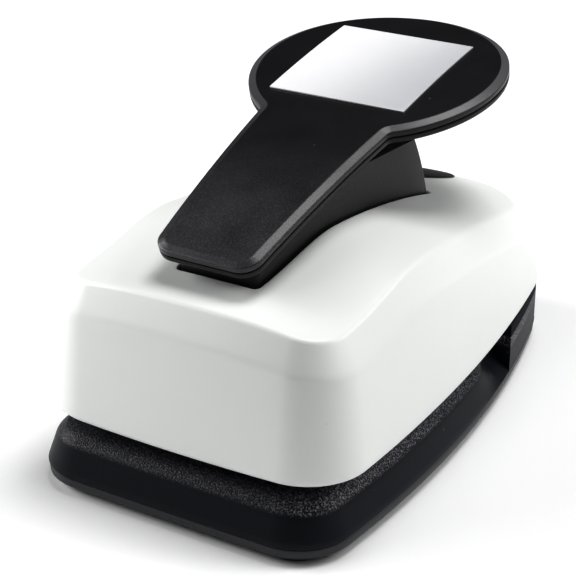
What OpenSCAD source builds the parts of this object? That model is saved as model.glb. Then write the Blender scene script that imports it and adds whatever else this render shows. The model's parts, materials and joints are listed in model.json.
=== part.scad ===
// Lever craft punch for squares of paper.
// A black base with a paper throat, a white housing over it, and a black paddle lever.
// Origin: centre of the footprint, on the table. X to the right, Y to the rear, Z up.

/* [Base] */
// Height of the seam between the base and its bottom cover
cover_top_z = 3.95; // [3:0.05:4.5]
// Width of the base at its widest
base_w = 81; // [67:0.5:98]
// Length of the base, front to rear
base_l = 148; // [123:1:178]
// Height of the throat floor above the table
deck_z = 13.7; // [13:0.1:16]
// Height of the open paper throat
throat_h = 3.3; // [2.6:0.1:4.5]
// Depth of the throat, from the base's front edge to its rear wall
throat_depth = 99.5; // [90:0.5:100]
// Corner radius of the base at the front
base_corner_r = 13.4; // [11:0.2:17]

/* [Housing] */
// Wall thickness of the housing
wall = 2.2; // [1.8:0.1:2.6]
// Height of the housing's top at its front edge
front_top_z = 50.6; // [47:0.1:51]
// Height of the housing's crest
crest_z = 57.2; // [56:0.1:58]
// Height to which the top falls at the rear edge
rear_top_z = 33; // [28:0.5:38]
// Fall of the crowned top from its middle to its sides at the front
front_crown = 3.2; // [1:0.1:5]
// Fall of the crowned top from its middle to its sides at the rear
rear_crown = 15; // [6:0.5:16]

/* [Lever] */
// Slope of the lever's front end at rest, in degrees
lever_slope = 20.1; // [17:0.1:22]
// Radius of the lever's arched top, seen from the side
lever_arch_r = 415; // [350:5:600]
// Half width of the lever's flat top at its front end
neck_half_w = 10.9; // [10:0.1:12.5]
// Radius of the round paddle's flat top
paddle_r = 29.4; // [26:0.2:31]
// Distance along the lever from its front end to the paddle's centre
paddle_reach = 78.3; // [70:0.5:82]
// Side of the square label
label_w = 36; // [28:0.5:38]
// How far the label sits off the lever's middle, to the left
label_shift = 1.2; // [0:0.1:2]

/* [Punch] */
// Side of the square that it cuts
cut_w = 50; // [38:0.5:50]
// Gap round the sliding punch in its guide
slide_gap = 0.1; // [0.05:0.05:0.3]
// Diameter of the lever's pivot axle
axle_d = 5; // [4:0.1:6]
// Radial gap between the axle and its bores
axle_gap = 0.05; // [0.02:0.01:0.1]
// Diameter of the lever's roller
roller_d = 10; // [8:0.5:11]

/* [Hidden] */
$fn = 48;
eps = 0.01;

// ---- driving places, all measured from the front edge of the base ----
front_y = -base_l / 2;
rear_y = base_l / 2;
pivot_y = front_y + 24;
pivot_z = deck_z + 20.5;
roller_arm = 27.3;
die_y = pivot_y + roller_arm + 0.7;
throat_wall_y = front_y + throat_depth;
foot_h = 0.4;
throat_top_z = deck_z + throat_h;

// ---- plan outline: five arcs tangent to each other, from front centre to rear centre ----
// Each point is [x, y, nx, ny], with its outward normal.
function heading(v) = atan2(v.y, v.x);

function arc_run(c, r, a0, a1, n) = [
    for (i = [0:n - 1])
        let (a = a0 + (a1 - a0) * i / n)
        [c.x + r * cos(a), c.y + r * sin(a), cos(a), sin(a)]
];

// Centre of an arc of radius r that touches two larger arcs from inside; side picks the corner.
function nested_centre(c1, r1, c2, r2, r, side) =
    let (d1 = r1 - r, d2 = r2 - r, d = norm(c2 - c1), e = (c2 - c1) / d)
    let (a = (d1 * d1 - d2 * d2 + d * d) / (2 * d))
    let (h = sqrt(max(d1 * d1 - a * a, 0)))
    let (p = c1 + a * e + h * [-e.y, e.x], q = c1 + a * e - h * [-e.y, e.x])
    p * side > q * side ? p : q;

// Steps in each of the five runs of half an outline
RUN = [4, 8, 10, 8, 5];

function half_outline(y0, front_r, corner_r, half_w, wide_y, side_r, y1, rear_r, shoulder_r) =
    let (cf = [0, y0 + front_r], cs = [half_w - side_r, wide_y], cr = [0, y1 - rear_r])
    let (cc = nested_centre(cf, front_r, cs, side_r, corner_r, [1, -1]))
    let (ct = nested_centre(cs, side_r, cr, rear_r, shoulder_r, [1, 1]))
    let (a1 = heading(cc - cf), a2 = heading(cc - cs), a3 = heading(ct - cs), a4 = heading(ct - cr))
    concat(
        arc_run(cf, front_r, -90, a1, RUN[0]),
        arc_run(cc, corner_r, a1, a2, RUN[1]),
        arc_run(cs, side_r, a2, a3, RUN[2]),
        arc_run(ct, shoulder_r, a3, a4, RUN[3]),
        arc_run(cr, rear_r, a4, 90, RUN[4]),
        [[0, y1, 0, 1]]
    );

// The whole loop: the right half, then its mirror image back to the front.
function whole(half) =
    let (n = len(half))
    concat(half, [for (i = [n - 2:-1:1]) let (p = half[i]) [-p.x, p.y, -p[2], p[3]]]);

// The loop moved inward by d
function inset(loop, d) = [for (p = loop) [p.x - d * p[2], p.y - d * p[3]]];

base_loop = whole(half_outline(
    front_y, base_l * 14, base_corner_r, base_w / 2, front_y + 42, base_l * 2.23,
    rear_y, base_w * 0.52, base_w * 0.333));

house_front_y = front_y + 3.1;
house_rear_y = rear_y - 1.2;
house_half_w = base_w / 2 - 0.5;
house_loop = whole(half_outline(
    house_front_y, base_l * 2.92, base_corner_r + 1.5, house_half_w, front_y + 35.5, base_l * 2.9,
    house_rear_y, base_w * 0.49, base_w * 0.363));

// ---- shared helpers ----
function mix(a, b, t) = a * (1 - t) + b * t;
function clamp01(t) = min(max(t, 0), 1);
function smooth(t) = let (u = clamp01(t)) u * u * (3 - 2 * u);
function bend(a, b, c, t) = mix(mix(a, b, t), mix(b, c, t), t);
BEND_STEPS = [0, 1 / 3, 2 / 3, 1];

// Quads between successive rings of n points; closed joins the last ring to the first.
function ring_faces(n, rings, closed) = [
    for (k = [0:(closed ? rings - 1 : rings - 2)])
        for (i = [0:n - 1])
            let (j = (i + 1) % n, m = (k + 1) % rings)
            [k * n + i, m * n + i, m * n + j, k * n + j]
];

// A screw with its head at z = 0 and its point downward
module screw(head_r, head_h, shank_r, shank_l) {
    translate([0, 0, -head_h]) difference() {
        cylinder(r = head_r, h = head_h);
        translate([0, 0, head_h - 0.8]) for (a = [0, 90])
            rotate([0, 0, a]) translate([-head_r * 0.6, -0.3, 0]) cube([head_r * 1.2, 0.6, 1]);
    }
    translate([0, 0, -head_h - shank_l]) cylinder(r = shank_r, h = shank_l + eps);
}

// ---- base: sloped side band, rounded shoulder, flat deck, and the rear column ----
chip_w = cut_w + 3;
die_w = cut_w + 12;
die_t = 2.5;
die_screw_at = cut_w / 2 + 3;
cover_screw_front = [16, front_y + 11];
cover_screw_rear = [12, rear_y - 12];
house_screw_front = [base_w / 2 - 15.5, front_y + 17];
house_screw_rear = [20, throat_wall_y + 10.5];
pilot_r = 1.25;
clear_r = 1.6;
rear_head_z = 7;

// The side band leans in more towards the throat's wall.
function near_wall(y) = smooth((y - throat_wall_y + 20) / 18);

function base_section(p) =
    let (w = near_wall(p.y), band_in = mix(2.3, 5, w), band_z = mix(deck_z - 2.7, deck_z - 5.1, w))
    let (a = [0, cover_top_z + 0.5], b = [band_in, band_z], c = [band_in + 2.9, deck_z])
    let (b0 = mix(a, b, 0.85), c1 = c + [2.2, 0], c0 = mix(b, c, 0.55))
    concat(
        [[0.1, cover_top_z], a],
        [for (t = [0:0.5:1]) bend(b0, b, mix(b, c, 0.3), t)],
        [for (t = BEND_STEPS) bend(c0, c, c1, t)]
    );

module base_tray() {
    sections = [for (p = base_loop) base_section(p)];
    n = len(base_loop);
    rings = len(sections[0]);
    points = [
        for (k = [0:rings - 1]) for (i = [0:n - 1])
            let (p = base_loop[i], s = sections[i][k])
            [p.x - s.x * p[2], p.y - s.x * p[3], s.y]
    ];
    bottom = [for (i = [0:n - 1]) i];
    top = [for (i = [n - 1:-1:0]) (rings - 1) * n + i];
    polyhedron(points, concat(ring_faces(n, rings, false), [bottom, top]));
}

module rear_column() {
    translate([0, 0, cover_top_z]) linear_extrude(throat_top_z - cover_top_z)
        intersection() {
            polygon(inset(base_loop, 0.05));
            translate([-base_w, throat_wall_y]) square([2 * base_w, base_l]);
        }
}

module base() color("#17191f") difference() {
    union() {
        base_tray();
        rear_column();
    }
    // chip way and the die plate's seat
    translate([-chip_w / 2, die_y - chip_w / 2, 0]) cube([chip_w, chip_w, 30]);
    translate([-die_w / 2 - 0.05, die_y - die_w / 2 - 0.05, deck_z - die_t])
        cube([die_w + 0.1, die_w + 0.1, 10 - eps]);
    // bores for the cover, housing and guide plate screws
    at_corners(cover_screw_front, cover_screw_rear) cylinder(r = pilot_r, h = cover_top_z + 5);
    for (s = [-1, 1]) {
        translate([s * house_screw_rear.x, house_screw_rear.y, 0]) {
            cylinder(r = clear_r, h = 40);
            cylinder(r = 3.2, h = rear_head_z);
        }
        translate([s * plate_screw_at.x, plate_screw_at.y, throat_top_z - 8])
            cylinder(r = pilot_r, h = 20);
        for (t = [-1, 1])
            translate([s * die_screw_at, die_y + t * die_screw_at, 5.5])
                cylinder(r = pilot_r, h = 20);
    }
}

// Copies at [x, y] and its mirror image, for a front and a rear pair
module at_corners(front, rear) {
    for (s = [-1, 1]) {
        translate([s * front.x, front.y, 0]) children();
        translate([s * rear.x, rear.y, 0]) children();
    }
}

// ---- bottom cover with the chip opening, and rubber feet ----
foot_front = [base_w * 0.37, front_y + 15];
foot_rear = [base_w * 0.28, rear_y - 24];
foot_r = 5;

module bottom_cover() color("#2c2e35") difference() {
    translate([0, 0, foot_h]) linear_extrude(cover_top_z - foot_h) polygon(inset(base_loop, 0.25));
    translate([-chip_w / 2, die_y - chip_w / 2, 0]) cube([chip_w, chip_w, 10]);
    at_corners(foot_front, foot_rear) cylinder(r = foot_r + 0.1, h = foot_h + 1);
    at_corners(cover_screw_front, cover_screw_rear) {
        cylinder(r = clear_r, h = 10);
        cylinder(r = 2.9, h = foot_h + 1.1);
    }
}

module foot(x, y) color("#101012")
    translate([x, y, 0]) cylinder(r = foot_r, h = foot_h + 1);

module cover_screw(x, y) color("#8d9096")
    translate([x, y, foot_h]) rotate([180, 0, 0]) screw(2.7, 1.1, 1.2, cover_top_z + 3);

// ---- housing: one shell from its rim, over the crowned top, into the lever's slot ----
crest_y = front_y + 49.5;
crown_half_w = 34;

function side_profile(y) =
    y < crest_y
        ? mix(front_top_z, crest_z,
            smooth(pow(clamp01((y - house_front_y) / (crest_y - house_front_y)), 1.5)))
        : crest_z - (crest_z - rear_top_z)
            * pow(clamp01((y - crest_y) / (house_rear_y - crest_y)), 2);

function toward_rear(y) = clamp01((y - front_y - 14) / (base_l - 28));

// The top is crowned across, more so towards the rear.
function top_z(x, y) =
    let (crown = mix(front_crown, rear_crown, pow(toward_rear(y), 1.55)))
    side_profile(y) - crown * pow(abs(x) / crown_half_w, 2.5);

skirt_front_y = pivot_y - 2.2;
skirt_half_w = 10.1;
skirt_r = 68.1;
function skirt_half(y) = skirt_half_w + (y - skirt_front_y) * tan(4.6);

slot_gap = 0.55;
slot_front_y = skirt_front_y - 0.7;
slot_skin_z = side_profile(pivot_y + skirt_r - 2) - wall;
slot_rear_y = pivot_y + sqrt(pow(skirt_r + 0.5, 2) - pow(slot_skin_z - pivot_z, 2)) + 0.3;

// Half of the slot's outline, with the same steps as half an outline of the housing
function line_run(a, b, n) = [for (i = [0:n - 1]) mix(a, b, i / n)];
function corner_run(c, r, a0, a1, n) =
    [for (i = [0:n - 1]) let (a = mix(a0, a1, i / n)) [c.x + r * cos(a), c.y + r * sin(a)]];

function half_slot() =
    let (r = 1.6, w0 = skirt_half(slot_front_y) + slot_gap, w1 = skirt_half(slot_rear_y) + slot_gap)
    let (c0 = [w0 - r, slot_front_y + r], c1 = [w1 - r, slot_rear_y - r])
    concat(
        line_run([0, slot_front_y], [c0.x, slot_front_y], RUN[0]),
        corner_run(c0, r, -90, 0, RUN[1]),
        line_run([w0, c0.y], [w1, c1.y], RUN[2]),
        corner_run(c1, r, 0, 90, RUN[3]),
        line_run([c1.x, slot_rear_y], [0, slot_rear_y], RUN[4]),
        [[0, slot_rear_y]]
    );

slot_loop = let (h = half_slot(), n = len(h))
    concat(h, [for (i = [n - 2:-1:1]) [-h[i].x, h[i].y]]);

function at_inset(p, d, z) = [p.x - d * p[2], p.y - d * p[3], z];
function top_at(p, d, drop) =
    let (x = p.x - d * p[2], y = p.y - d * p[3]) [x, y, top_z(x, y) - drop];

// Section of the side wall as [inset, z], from the rim to the start of the top; t is the skin
// that is taken off, so t = 0 is the outside and t = wall is the inside.
function wall_section(p, t) =
    let (w = toward_rear(p.y), band_in = mix(5.8, 7.1, w), band_h = mix(7.2, 6.9, w))
    let (z_up = top_z(p.x - band_in * p[2], p.y - band_in * p[3]))
    let (rim = [t, throat_top_z], low = [2.3 + t, z_up - band_h - t * 0.3])
    let (up = [band_in + t * 0.8, z_up - t], belly = [-0.3, 0])
    let (over = [up.x + 1.4, top_at(p, up.x + 1.4, t).z])
    concat(
        [rim, mix(rim, low, 0.12) + belly, mix(rim, low, 0.4) + belly, mix(rim, low, 0.7) + belly / 2],
        [for (q = BEND_STEPS) bend(mix(low, rim, 0.07), low, mix(low, up, 0.26), q)],
        [for (q = BEND_STEPS) bend(mix(up, low, 0.18), up, over, q)]
    );

// One ring of the side wall, through the k-th point of every section
function wall_ring(sections, k) =
    [for (i = [0:len(house_loop) - 1]) at_inset(house_loop[i], sections[i][k].x, sections[i][k].y)];

TOP_STEPS = 6;

module housing_shell() {
    n = len(house_loop);
    outer = [for (p = house_loop) wall_section(p, 0)];
    inner = [for (p = house_loop) wall_section(p, wall)];
    m = len(outer[0]);
    outer_rings = [for (k = [0:m - 1]) wall_ring(outer, k)];
    inner_rings = [for (k = [m - 1:-1:0]) wall_ring(inner, k)];
    outer_top = [for (k = [1:TOP_STEPS]) top_ring(outer_rings[m - 1], k / TOP_STEPS, 0)];
    inner_top = [for (k = [TOP_STEPS:-1:1]) top_ring(inner_rings[0], k / TOP_STEPS, wall)];
    rings = concat(outer_rings, outer_top, inner_top, inner_rings);
    polyhedron([for (r = rings) for (p = r) p], ring_faces(n, len(rings), true));
}

// A ring of the top, part way from the ring at the wall to the slot
function top_ring(ring, t, drop) = [
    for (i = [0:len(ring) - 1])
        let (x = mix(ring[i].x, slot_loop[i].x, t), y = mix(ring[i].y, slot_loop[i].y, t))
        [x, y, top_z(x, y) - drop]
];

plate_t = 4;
plate_top_z = throat_top_z + plate_t;
boss_r = 4;

module housing() color("#eceeec") difference() {
    union() {
        housing_shell();
        for (s = [-1, 1]) {
            translate([s * house_screw_front.x, house_screw_front.y, plate_top_z])
                cylinder(r = boss_r, h = boss_top(house_screw_front) - plate_top_z);
            translate([s * house_screw_rear.x, house_screw_rear.y, throat_top_z])
                cylinder(r = boss_r, h = boss_top(house_screw_rear) - throat_top_z);
        }
    }
    pad_recess();
    for (s = [-1, 1]) {
        translate([s * house_screw_front.x, house_screw_front.y, plate_top_z - 1])
            cylinder(r = pilot_r, h = 12);
        translate([s * house_screw_rear.x, house_screw_rear.y, throat_top_z - 1])
            cylinder(r = pilot_r, h = 12);
    }
}

// Height at which a boss still stays under the skin of the top, all round its rim
function boss_top(at) =
    min([for (a = [0:45:315]) top_z(at.x + boss_r * cos(a), at.y + boss_r * sin(a))]) - 0.5;

module housing_screw_front(s) color("#8d9096")
    translate([s * house_screw_front.x, house_screw_front.y, throat_top_z + 0.2])
        rotate([180, 0, 0]) screw(2.8, 1.3, 1.2, 10);

module housing_screw_rear(s) color("#8d9096")
    translate([s * house_screw_rear.x, house_screw_rear.y, rear_head_z - 2])
        rotate([180, 0, 0]) screw(2.8, 2, 1.2, 18);

// ---- rest pad: a black oval let into the top, behind the lever's slot ----
pad_half_w = 9;
pad_front_y = slot_rear_y + 3.8;
pad_rear_y = rear_y - 19.5;
pad_seat = 0.8;
pad_proud = 0.4;
pad_gap = 0.05;

// A ring at a share s of the pad's size, grown by g, at height h above the top
function pad_ring(s, g, h) =
    let (mid_y = (pad_front_y + pad_rear_y) / 2, half_l = (pad_rear_y - pad_front_y) / 2)
    [for (a = [0:11.25:354])
        let (x = (pad_half_w + g) * s * cos(a), y = mid_y + (half_l + g) * s * sin(a))
        [x, y, top_z(x, y) + h]];

// An oval solid that follows the top, through rings given as [share, height above the top]
module on_top(rings, g) {
    loops = [for (r = rings) pad_ring(r[0], g, r[1])];
    n = len(loops[0]);
    last = (len(rings) - 1) * n;
    low = pad_ring(0, 0, rings[0][1])[0];
    high = pad_ring(0, 0, rings[len(rings) - 1][1])[0];
    polyhedron(concat([for (l = loops) for (p = l) p], [low, high]), concat(
        ring_faces(n, len(rings), false),
        [for (i = [0:n - 1]) [i, (i + 1) % n, last + n]],
        [for (i = [0:n - 1]) [last + (i + 1) % n, last + i, last + n + 1]]
    ));
}

module rest_pad() color("#1b1c20") {
    low = layer_gap - pad_seat;
    on_top([
        [0.33, low], [0.66, low], [1, low], [1, pad_proud * 0.3], [0.98, pad_proud * 0.7],
        [0.92, pad_proud * 0.95], [0.66, pad_proud], [0.33, pad_proud]
    ], 0);
}

module pad_recess()
    on_top([
        [0.33, -pad_seat], [0.66, -pad_seat], [1, -pad_seat], [1, 2], [0.66, 2], [0.33, 2]
    ], pad_gap);

// ---- guide plate, die plate and their screws ----
plate_screw_at = [7, throat_wall_y + 12];

module guide_plate() color("#9a9ca0") difference() {
    translate([0, 0, throat_top_z]) linear_extrude(plate_t) intersection() {
        polygon(inset(house_loop, wall + 0.6));
        translate([-base_w, front_y]) square([2 * base_w, throat_wall_y - front_y + 18]);
    }
    translate([0, die_y, throat_top_z + plate_t / 2])
        cube([cut_w + 2 * slide_gap, cut_w + 2 * slide_gap, 2 * plate_t], center = true);
    for (s = [-1, 1]) {
        translate([s * house_screw_rear.x, house_screw_rear.y, 0])
            cylinder(r = boss_r + 0.3, h = 40);
        translate([s * house_screw_front.x, house_screw_front.y, 0]) {
            cylinder(r = 1.5, h = 40);
            cylinder(r = 3, h = throat_top_z + 1.5);
        }
        translate([s * plate_screw_at.x, plate_screw_at.y, 0]) cylinder(r = 1.5, h = 40);
        translate([s * bracket_screw_at.x, bracket_screw_at.y, throat_top_z + 1])
            cylinder(r = pilot_r, h = 40);
        translate([s * post_x, die_y, 0]) cylinder(r = post_d / 2 + 0.02, h = 40);
    }
}

module die_plate() color("#b9bbbf") difference() {
    translate([-die_w / 2, die_y - die_w / 2, deck_z - die_t]) cube([die_w, die_w, die_t]);
    translate([0, die_y, deck_z])
        cube([cut_w + 2 * slide_gap, cut_w + 2 * slide_gap, 3 * die_t], center = true);
    for (s = [-1, 1]) for (t = [-1, 1])
        translate([s * die_screw_at, die_y + t * die_screw_at, 0]) {
            cylinder(r = 1.5, h = 30);
            translate([0, 0, deck_z - 1.2]) cylinder(r = 2.4, h = 5);
        }
}

module die_screw(s, t) color("#8d9096")
    translate([s * die_screw_at, die_y + t * die_screw_at, deck_z - 0.05])
        screw(2.2, 1.15, 1.2, 4.5);

module plate_screw(s) color("#8d9096")
    translate([s * plate_screw_at.x, plate_screw_at.y, plate_top_z + 1.6])
        screw(2.8, 1.6, 1.2, 10);

// ---- pivot bracket with its axle, clips and screws ----
axle_r = axle_d / 2;
bracket_in = skirt_half(pivot_y + 6) + 0.5;
bracket_t = 2.4;
bracket_screw_at = [6, pivot_y - 7];

module pivot_bracket() color("#8f9196") difference() {
    union() {
        translate([-bracket_in - bracket_t, pivot_y - 13, plate_top_z])
            cube([2 * (bracket_in + bracket_t), 14.4, 2]);
        for (s = [-1, 1]) translate([s * (bracket_in + bracket_t / 2), 0, 0]) {
            translate([-bracket_t / 2, pivot_y - 9, plate_top_z]) cube([bracket_t, 10.4, 8]);
            translate([0, pivot_y, pivot_z]) rotate([0, 90, 0])
                cylinder(r = 6, h = bracket_t, center = true);
            translate([-bracket_t / 2, pivot_y - 6, plate_top_z + 6])
                cube([bracket_t, 7.4, pivot_z - plate_top_z - 6]);
        }
    }
    translate([0, pivot_y, pivot_z]) rotate([0, 90, 0])
        cylinder(r = axle_r + axle_gap, h = 60, center = true);
    for (s = [-1, 1]) translate([s * bracket_screw_at.x, bracket_screw_at.y, 0])
        cylinder(r = 1.5, h = 60);
}

module bracket_screw(s) color("#8d9096")
    translate([s * bracket_screw_at.x, bracket_screw_at.y, plate_top_z + 3.4])
        screw(2.6, 1.4, 1.2, 4.5);

clip_t = 0.9;
axle_half_l = bracket_in + bracket_t + clip_t + 1;

module pivot_axle() color("#c4c6ca")
    translate([0, pivot_y, pivot_z]) rotate([0, 90, 0])
        cylinder(r = axle_r, h = 2 * axle_half_l, center = true);

module axle_clip(s) color("#6f7176")
    translate([s * (bracket_in + bracket_t + clip_t / 2 + 0.02), pivot_y, pivot_z]) rotate([0, 90, 0])
        difference() {
            cylinder(r = axle_r + 2, h = clip_t, center = true);
            cylinder(r = axle_r + 0.01, h = 2 * clip_t, center = true);
        }

// ---- lever: arched along its length, round at the rear ----
arch_y = pivot_y - 2.7;
arch_z = pivot_z + 27;

// Place on the arched top at arc length s from the arch's start, n above it, as [y, z]
function arch(s, n) =
    let (a = lever_slope - s / lever_arch_r * 180 / PI, r = lever_arch_r + n)
    [
        arch_y + lever_arch_r * sin(lever_slope) - r * sin(a),
        arch_z - lever_arch_r * cos(lever_slope) + r * cos(a)
    ];

lever_front_s = -5;
paddle_s = lever_front_s + paddle_reach;
neck_angle = 4.6;
neck_corner_r = 3;
neck_fillet_r = 4;

// Half of the lever's outline as [x, s] from its front corner to the paddle's rear, grown by g
function half_lever(g) =
    let (dir = [sin(neck_angle), cos(neck_angle)], nrm = [cos(neck_angle), -sin(neck_angle)])
    let (p = [neck_half_w, lever_front_s], d = [0, paddle_s], q = nrm * (d - p))
    let (far = sqrt(pow(paddle_r + neck_fillet_r, 2) - pow(neck_fillet_r - q, 2)))
    let (c = d + (neck_fillet_r - q) * nrm - far * dir)
    let (tip = [p.x + (-neck_corner_r - neck_corner_r * nrm.y) / nrm.x, p.y + neck_corner_r])
    let (a0 = tip + (neck_corner_r + g) * nrm, a1 = c - (neck_fillet_r - g) * nrm)
    let (h0 = heading(-nrm) + 360, h1 = heading(d - c), hd = heading(c - d))
    concat(
        corner_run(tip, neck_corner_r + g, -90, heading(nrm), 5),
        line_run(a0, a1, 12),
        corner_run(c, neck_fillet_r - g, h0 > 360 ? h0 - 360 : h0, h1, 5),
        corner_run(d, paddle_r + g, hd, 90, 26),
        [d + [0, paddle_r + g]]
    );

function lever_loop(g) = let (h = half_lever(g), n = len(h))
    concat(h, [for (i = [n - 2:-1:0]) [-h[i].x, h[i].y]]);

// A layer of the lever through rings given as [growth, height above the arched top]
module lever_layer(rings) {
    loops = [for (r = rings) lever_loop(r[0])];
    n = len(loops[0]);
    half = (n - 1) / 2;
    points = [for (k = [0:len(rings) - 1]) for (p = loops[k])
        let (yz = arch(p.y, rings[k][1])) [p.x, yz.x, yz.y]];
    last = (len(rings) - 1) * n;
    cap = concat(
        [for (i = [0:half - 2]) [i, n - 1 - i, n - 2 - i, i + 1]],
        [[half - 1, half + 1, half]]
    );
    polyhedron(points, concat(
        ring_faces(n, len(rings), false),
        [for (f = cap) [for (i = [len(f) - 1:-1:0]) f[i]]],
        [for (f = cap) [for (i = f) i + last]]
    ));
}

edge_grow = 1.9;
cover_t = 2.1;
layer_gap = 0.01;
lever_t = 4.1;

module lever_cover() color("#1c1b1d")
    lever_layer([[edge_grow, -cover_t], [edge_grow, -0.75], [0, 0]]);

// Outline of the skirt in plan, thinner all round by t
module skirt_plan(t) {
    y0 = skirt_front_y + t;
    y1 = pivot_y + skirt_r + 8;
    polygon([
        [-skirt_half(y0) + t, y0], [skirt_half(y0) - t, y0],
        [skirt_half(y1) - t, y1], [-skirt_half(y1) + t, y1]
    ]);
}

// Side view of the skirt as [y, z]: arc about the pivot behind, arched under the paddle
function skirt_side(t, top_n) =
    let (r = skirt_r - t, low = [pivot_y + sqrt(r * r - 11 * 11), pivot_z + 11])
    let (up = pivot_z + 30.5)
    concat(
        [for (i = [0:8]) let (z = mix(low.y, up, i / 8)) [pivot_y + sqrt(r * r - pow(z - pivot_z, 2)), z]],
        [for (s = [60:-6:0]) arch(s, top_n)],
        [[skirt_front_y + t, arch(0, top_n).y]],
        [[skirt_front_y + t, pivot_z + 8.5], [pivot_y + 6, pivot_z + 2.5]]
    );

module extrude_side(outline, half_w)
    rotate([90, 0, 90]) translate([0, 0, -half_w]) linear_extrude(2 * half_w) polygon(outline);

skirt_wall = 2;
roller_y = pivot_y + roller_arm;
roller_z = pivot_z + 5.6;
roller_pin_r = 1.5;

module lever_body() color("#1a191b") difference() {
    union() {
        lever_layer([
            [edge_grow - 1.6, -lever_t], [edge_grow - 0.5, -lever_t + 0.3],
            [edge_grow, -lever_t + 0.9], [edge_grow, -cover_t - 0.25],
            [edge_grow - 0.35, -cover_t - 0.2], [edge_grow - 0.35, -cover_t - layer_gap]
        ]);
        intersection() {
            linear_extrude(100) skirt_plan(0);
            union() {
                extrude_side(skirt_side(0, -3.2), 30);
                for (c = [[pivot_y, pivot_z, 5], [roller_y, roller_z, 4]])
                    translate([0, c[0], c[1]]) rotate([0, 90, 0])
                        cylinder(r = c[2], h = 60, center = true);
                translate([-30, pivot_y - 2.2, pivot_z]) cube([60, 7.2, 12]);
            }
        }
    }
    // the hollow between the skirt's walls
    intersection() {
        linear_extrude(100) skirt_plan(skirt_wall);
        union() {
            extrude_side(skirt_side(skirt_wall, -lever_t - 0.6), 30);
            translate([-30, pivot_y - 12, pivot_z - 8]) cube([60, 72, 19.5]);
        }
    }
    translate([-30, pivot_y - 12, pivot_z - 12]) cube([60, 60, 4]);
    translate([0, pivot_y, pivot_z]) rotate([0, 90, 0])
        cylinder(r = axle_r + axle_gap, h = 60, center = true);
    translate([0, roller_y, roller_z]) rotate([0, 90, 0])
        cylinder(r = roller_pin_r + 0.02, h = 60, center = true);
}

module label_plate() color("#c9ccd2") {
    s0 = paddle_s - 0.5 - label_w / 2;
    steps = 9;
    stations = [for (i = [0:steps]) s0 + label_w * i / steps];
    side = concat(
        [for (s = stations) arch(s, 0.01)],
        [for (i = [steps:-1:0]) arch(stations[i], 0.4)]
    );
    translate([-label_shift, 0, 0]) extrude_side(side, label_w / 2);
}

module roller_pin() color("#c4c6ca")
    translate([0, roller_y, roller_z]) rotate([0, 90, 0])
        cylinder(r = roller_pin_r, h = 2 * skirt_half(roller_y) - 0.6, center = true);

roller_half_w = skirt_half(roller_y) - skirt_wall - 0.6;

module roller() color("#d8d9d6")
    translate([0, roller_y, roller_z]) rotate([0, 90, 0]) difference() {
        cylinder(r = roller_d / 2, h = 2 * roller_half_w, center = true);
        cylinder(r = roller_pin_r + axle_gap, h = 60, center = true);
    }

// ---- punch: the cutting block, its head, guide posts and return springs ----
punch_low_z = throat_top_z + 0.5;
block_h = 10;
head_top_z = roller_z - roller_d / 2 - 0.12;
flange_t = 3.5;
post_x = cut_w / 2 + 4.8;
post_d = 5;
spring_y = 14;
head_screw_x = 14;

module punch_block() color("#a6a8ac") difference() {
    translate([-cut_w / 2, die_y - cut_w / 2, punch_low_z]) cube([cut_w, cut_w, block_h]);
    for (s = [-1, 1])
        translate([s * head_screw_x, die_y, punch_low_z + 3]) cylinder(r = pilot_r, h = 20);
}

module punch_head() color("#26272c") difference() {
    union() {
        translate([-18, die_y - 15, punch_low_z + block_h])
            cube([36, 30, head_top_z - punch_low_z - block_h]);
        translate([-post_x - 4.2, die_y - 18, head_top_z - flange_t])
            cube([2 * post_x + 8.4, 36, flange_t]);
    }
    for (s = [-1, 1]) {
        translate([s * post_x, die_y, 0]) cylinder(r = post_d / 2 + slide_gap, h = 60);
        translate([s * head_screw_x, die_y, 0]) {
            cylinder(r = 1.5, h = 60);
            translate([0, 0, head_top_z - 1.6]) cylinder(r = 3, h = 10);
        }
    }
}

module head_screw(s) color("#8d9096")
    translate([s * head_screw_x, die_y, head_top_z - 0.3]) screw(2.7, 1.3, 1.2, 9);

module guide_post(s) color("#c4c6ca")
    translate([s * post_x, die_y, throat_top_z]) {
        cylinder(r = post_d / 2, h = head_top_z + 2 - throat_top_z);
        translate([0, 0, plate_t]) cylinder(r = post_d / 2 + 1, h = 1);
    }

// A compression spring as one ribbed sleeve, five turns high
module spring(s, t) color("#b4b6ba") {
    r = 3.2;
    wire = 0.8;
    turns = 5;
    h = head_top_z - flange_t - plate_top_z;
    pitch = h / turns;
    translate([s * post_x, die_y + t * spring_y, plate_top_z]) rotate_extrude() polygon(concat(
        [[r - wire - 0.3, 0]],
        [for (i = [0:turns - 1]) each [[r - 0.4, i * pitch], [r, (i + 0.5) * pitch]]],
        [[r - 0.4, h], [r - wire - 0.3, h]]
    ));
}

base();
bottom_cover();
foot(-foot_front.x, foot_front.y);  // foot_fl
foot(foot_front.x, foot_front.y);  // foot_fr
foot(-foot_rear.x, foot_rear.y);  // foot_rl
foot(foot_rear.x, foot_rear.y);  // foot_rr
housing();
rest_pad();
guide_plate();
die_plate();
die_screw(-1, -1);  // die_screw_fl
die_screw(1, -1);  // die_screw_fr
die_screw(-1, 1);  // die_screw_rl
die_screw(1, 1);  // die_screw_rr
cover_screw(-cover_screw_front.x, cover_screw_front.y);  // cover_screw_fl
cover_screw(cover_screw_front.x, cover_screw_front.y);  // cover_screw_fr
cover_screw(-cover_screw_rear.x, cover_screw_rear.y);  // cover_screw_rl
cover_screw(cover_screw_rear.x, cover_screw_rear.y);  // cover_screw_rr
housing_screw_front(-1);  // housing_screw_fl
housing_screw_front(1);  // housing_screw_fr
housing_screw_rear(-1);  // housing_screw_rl
housing_screw_rear(1);  // housing_screw_rr
plate_screw(-1);  // plate_screw_l
plate_screw(1);  // plate_screw_r
pivot_bracket();
bracket_screw(-1);  // bracket_screw_l
bracket_screw(1);  // bracket_screw_r
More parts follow.
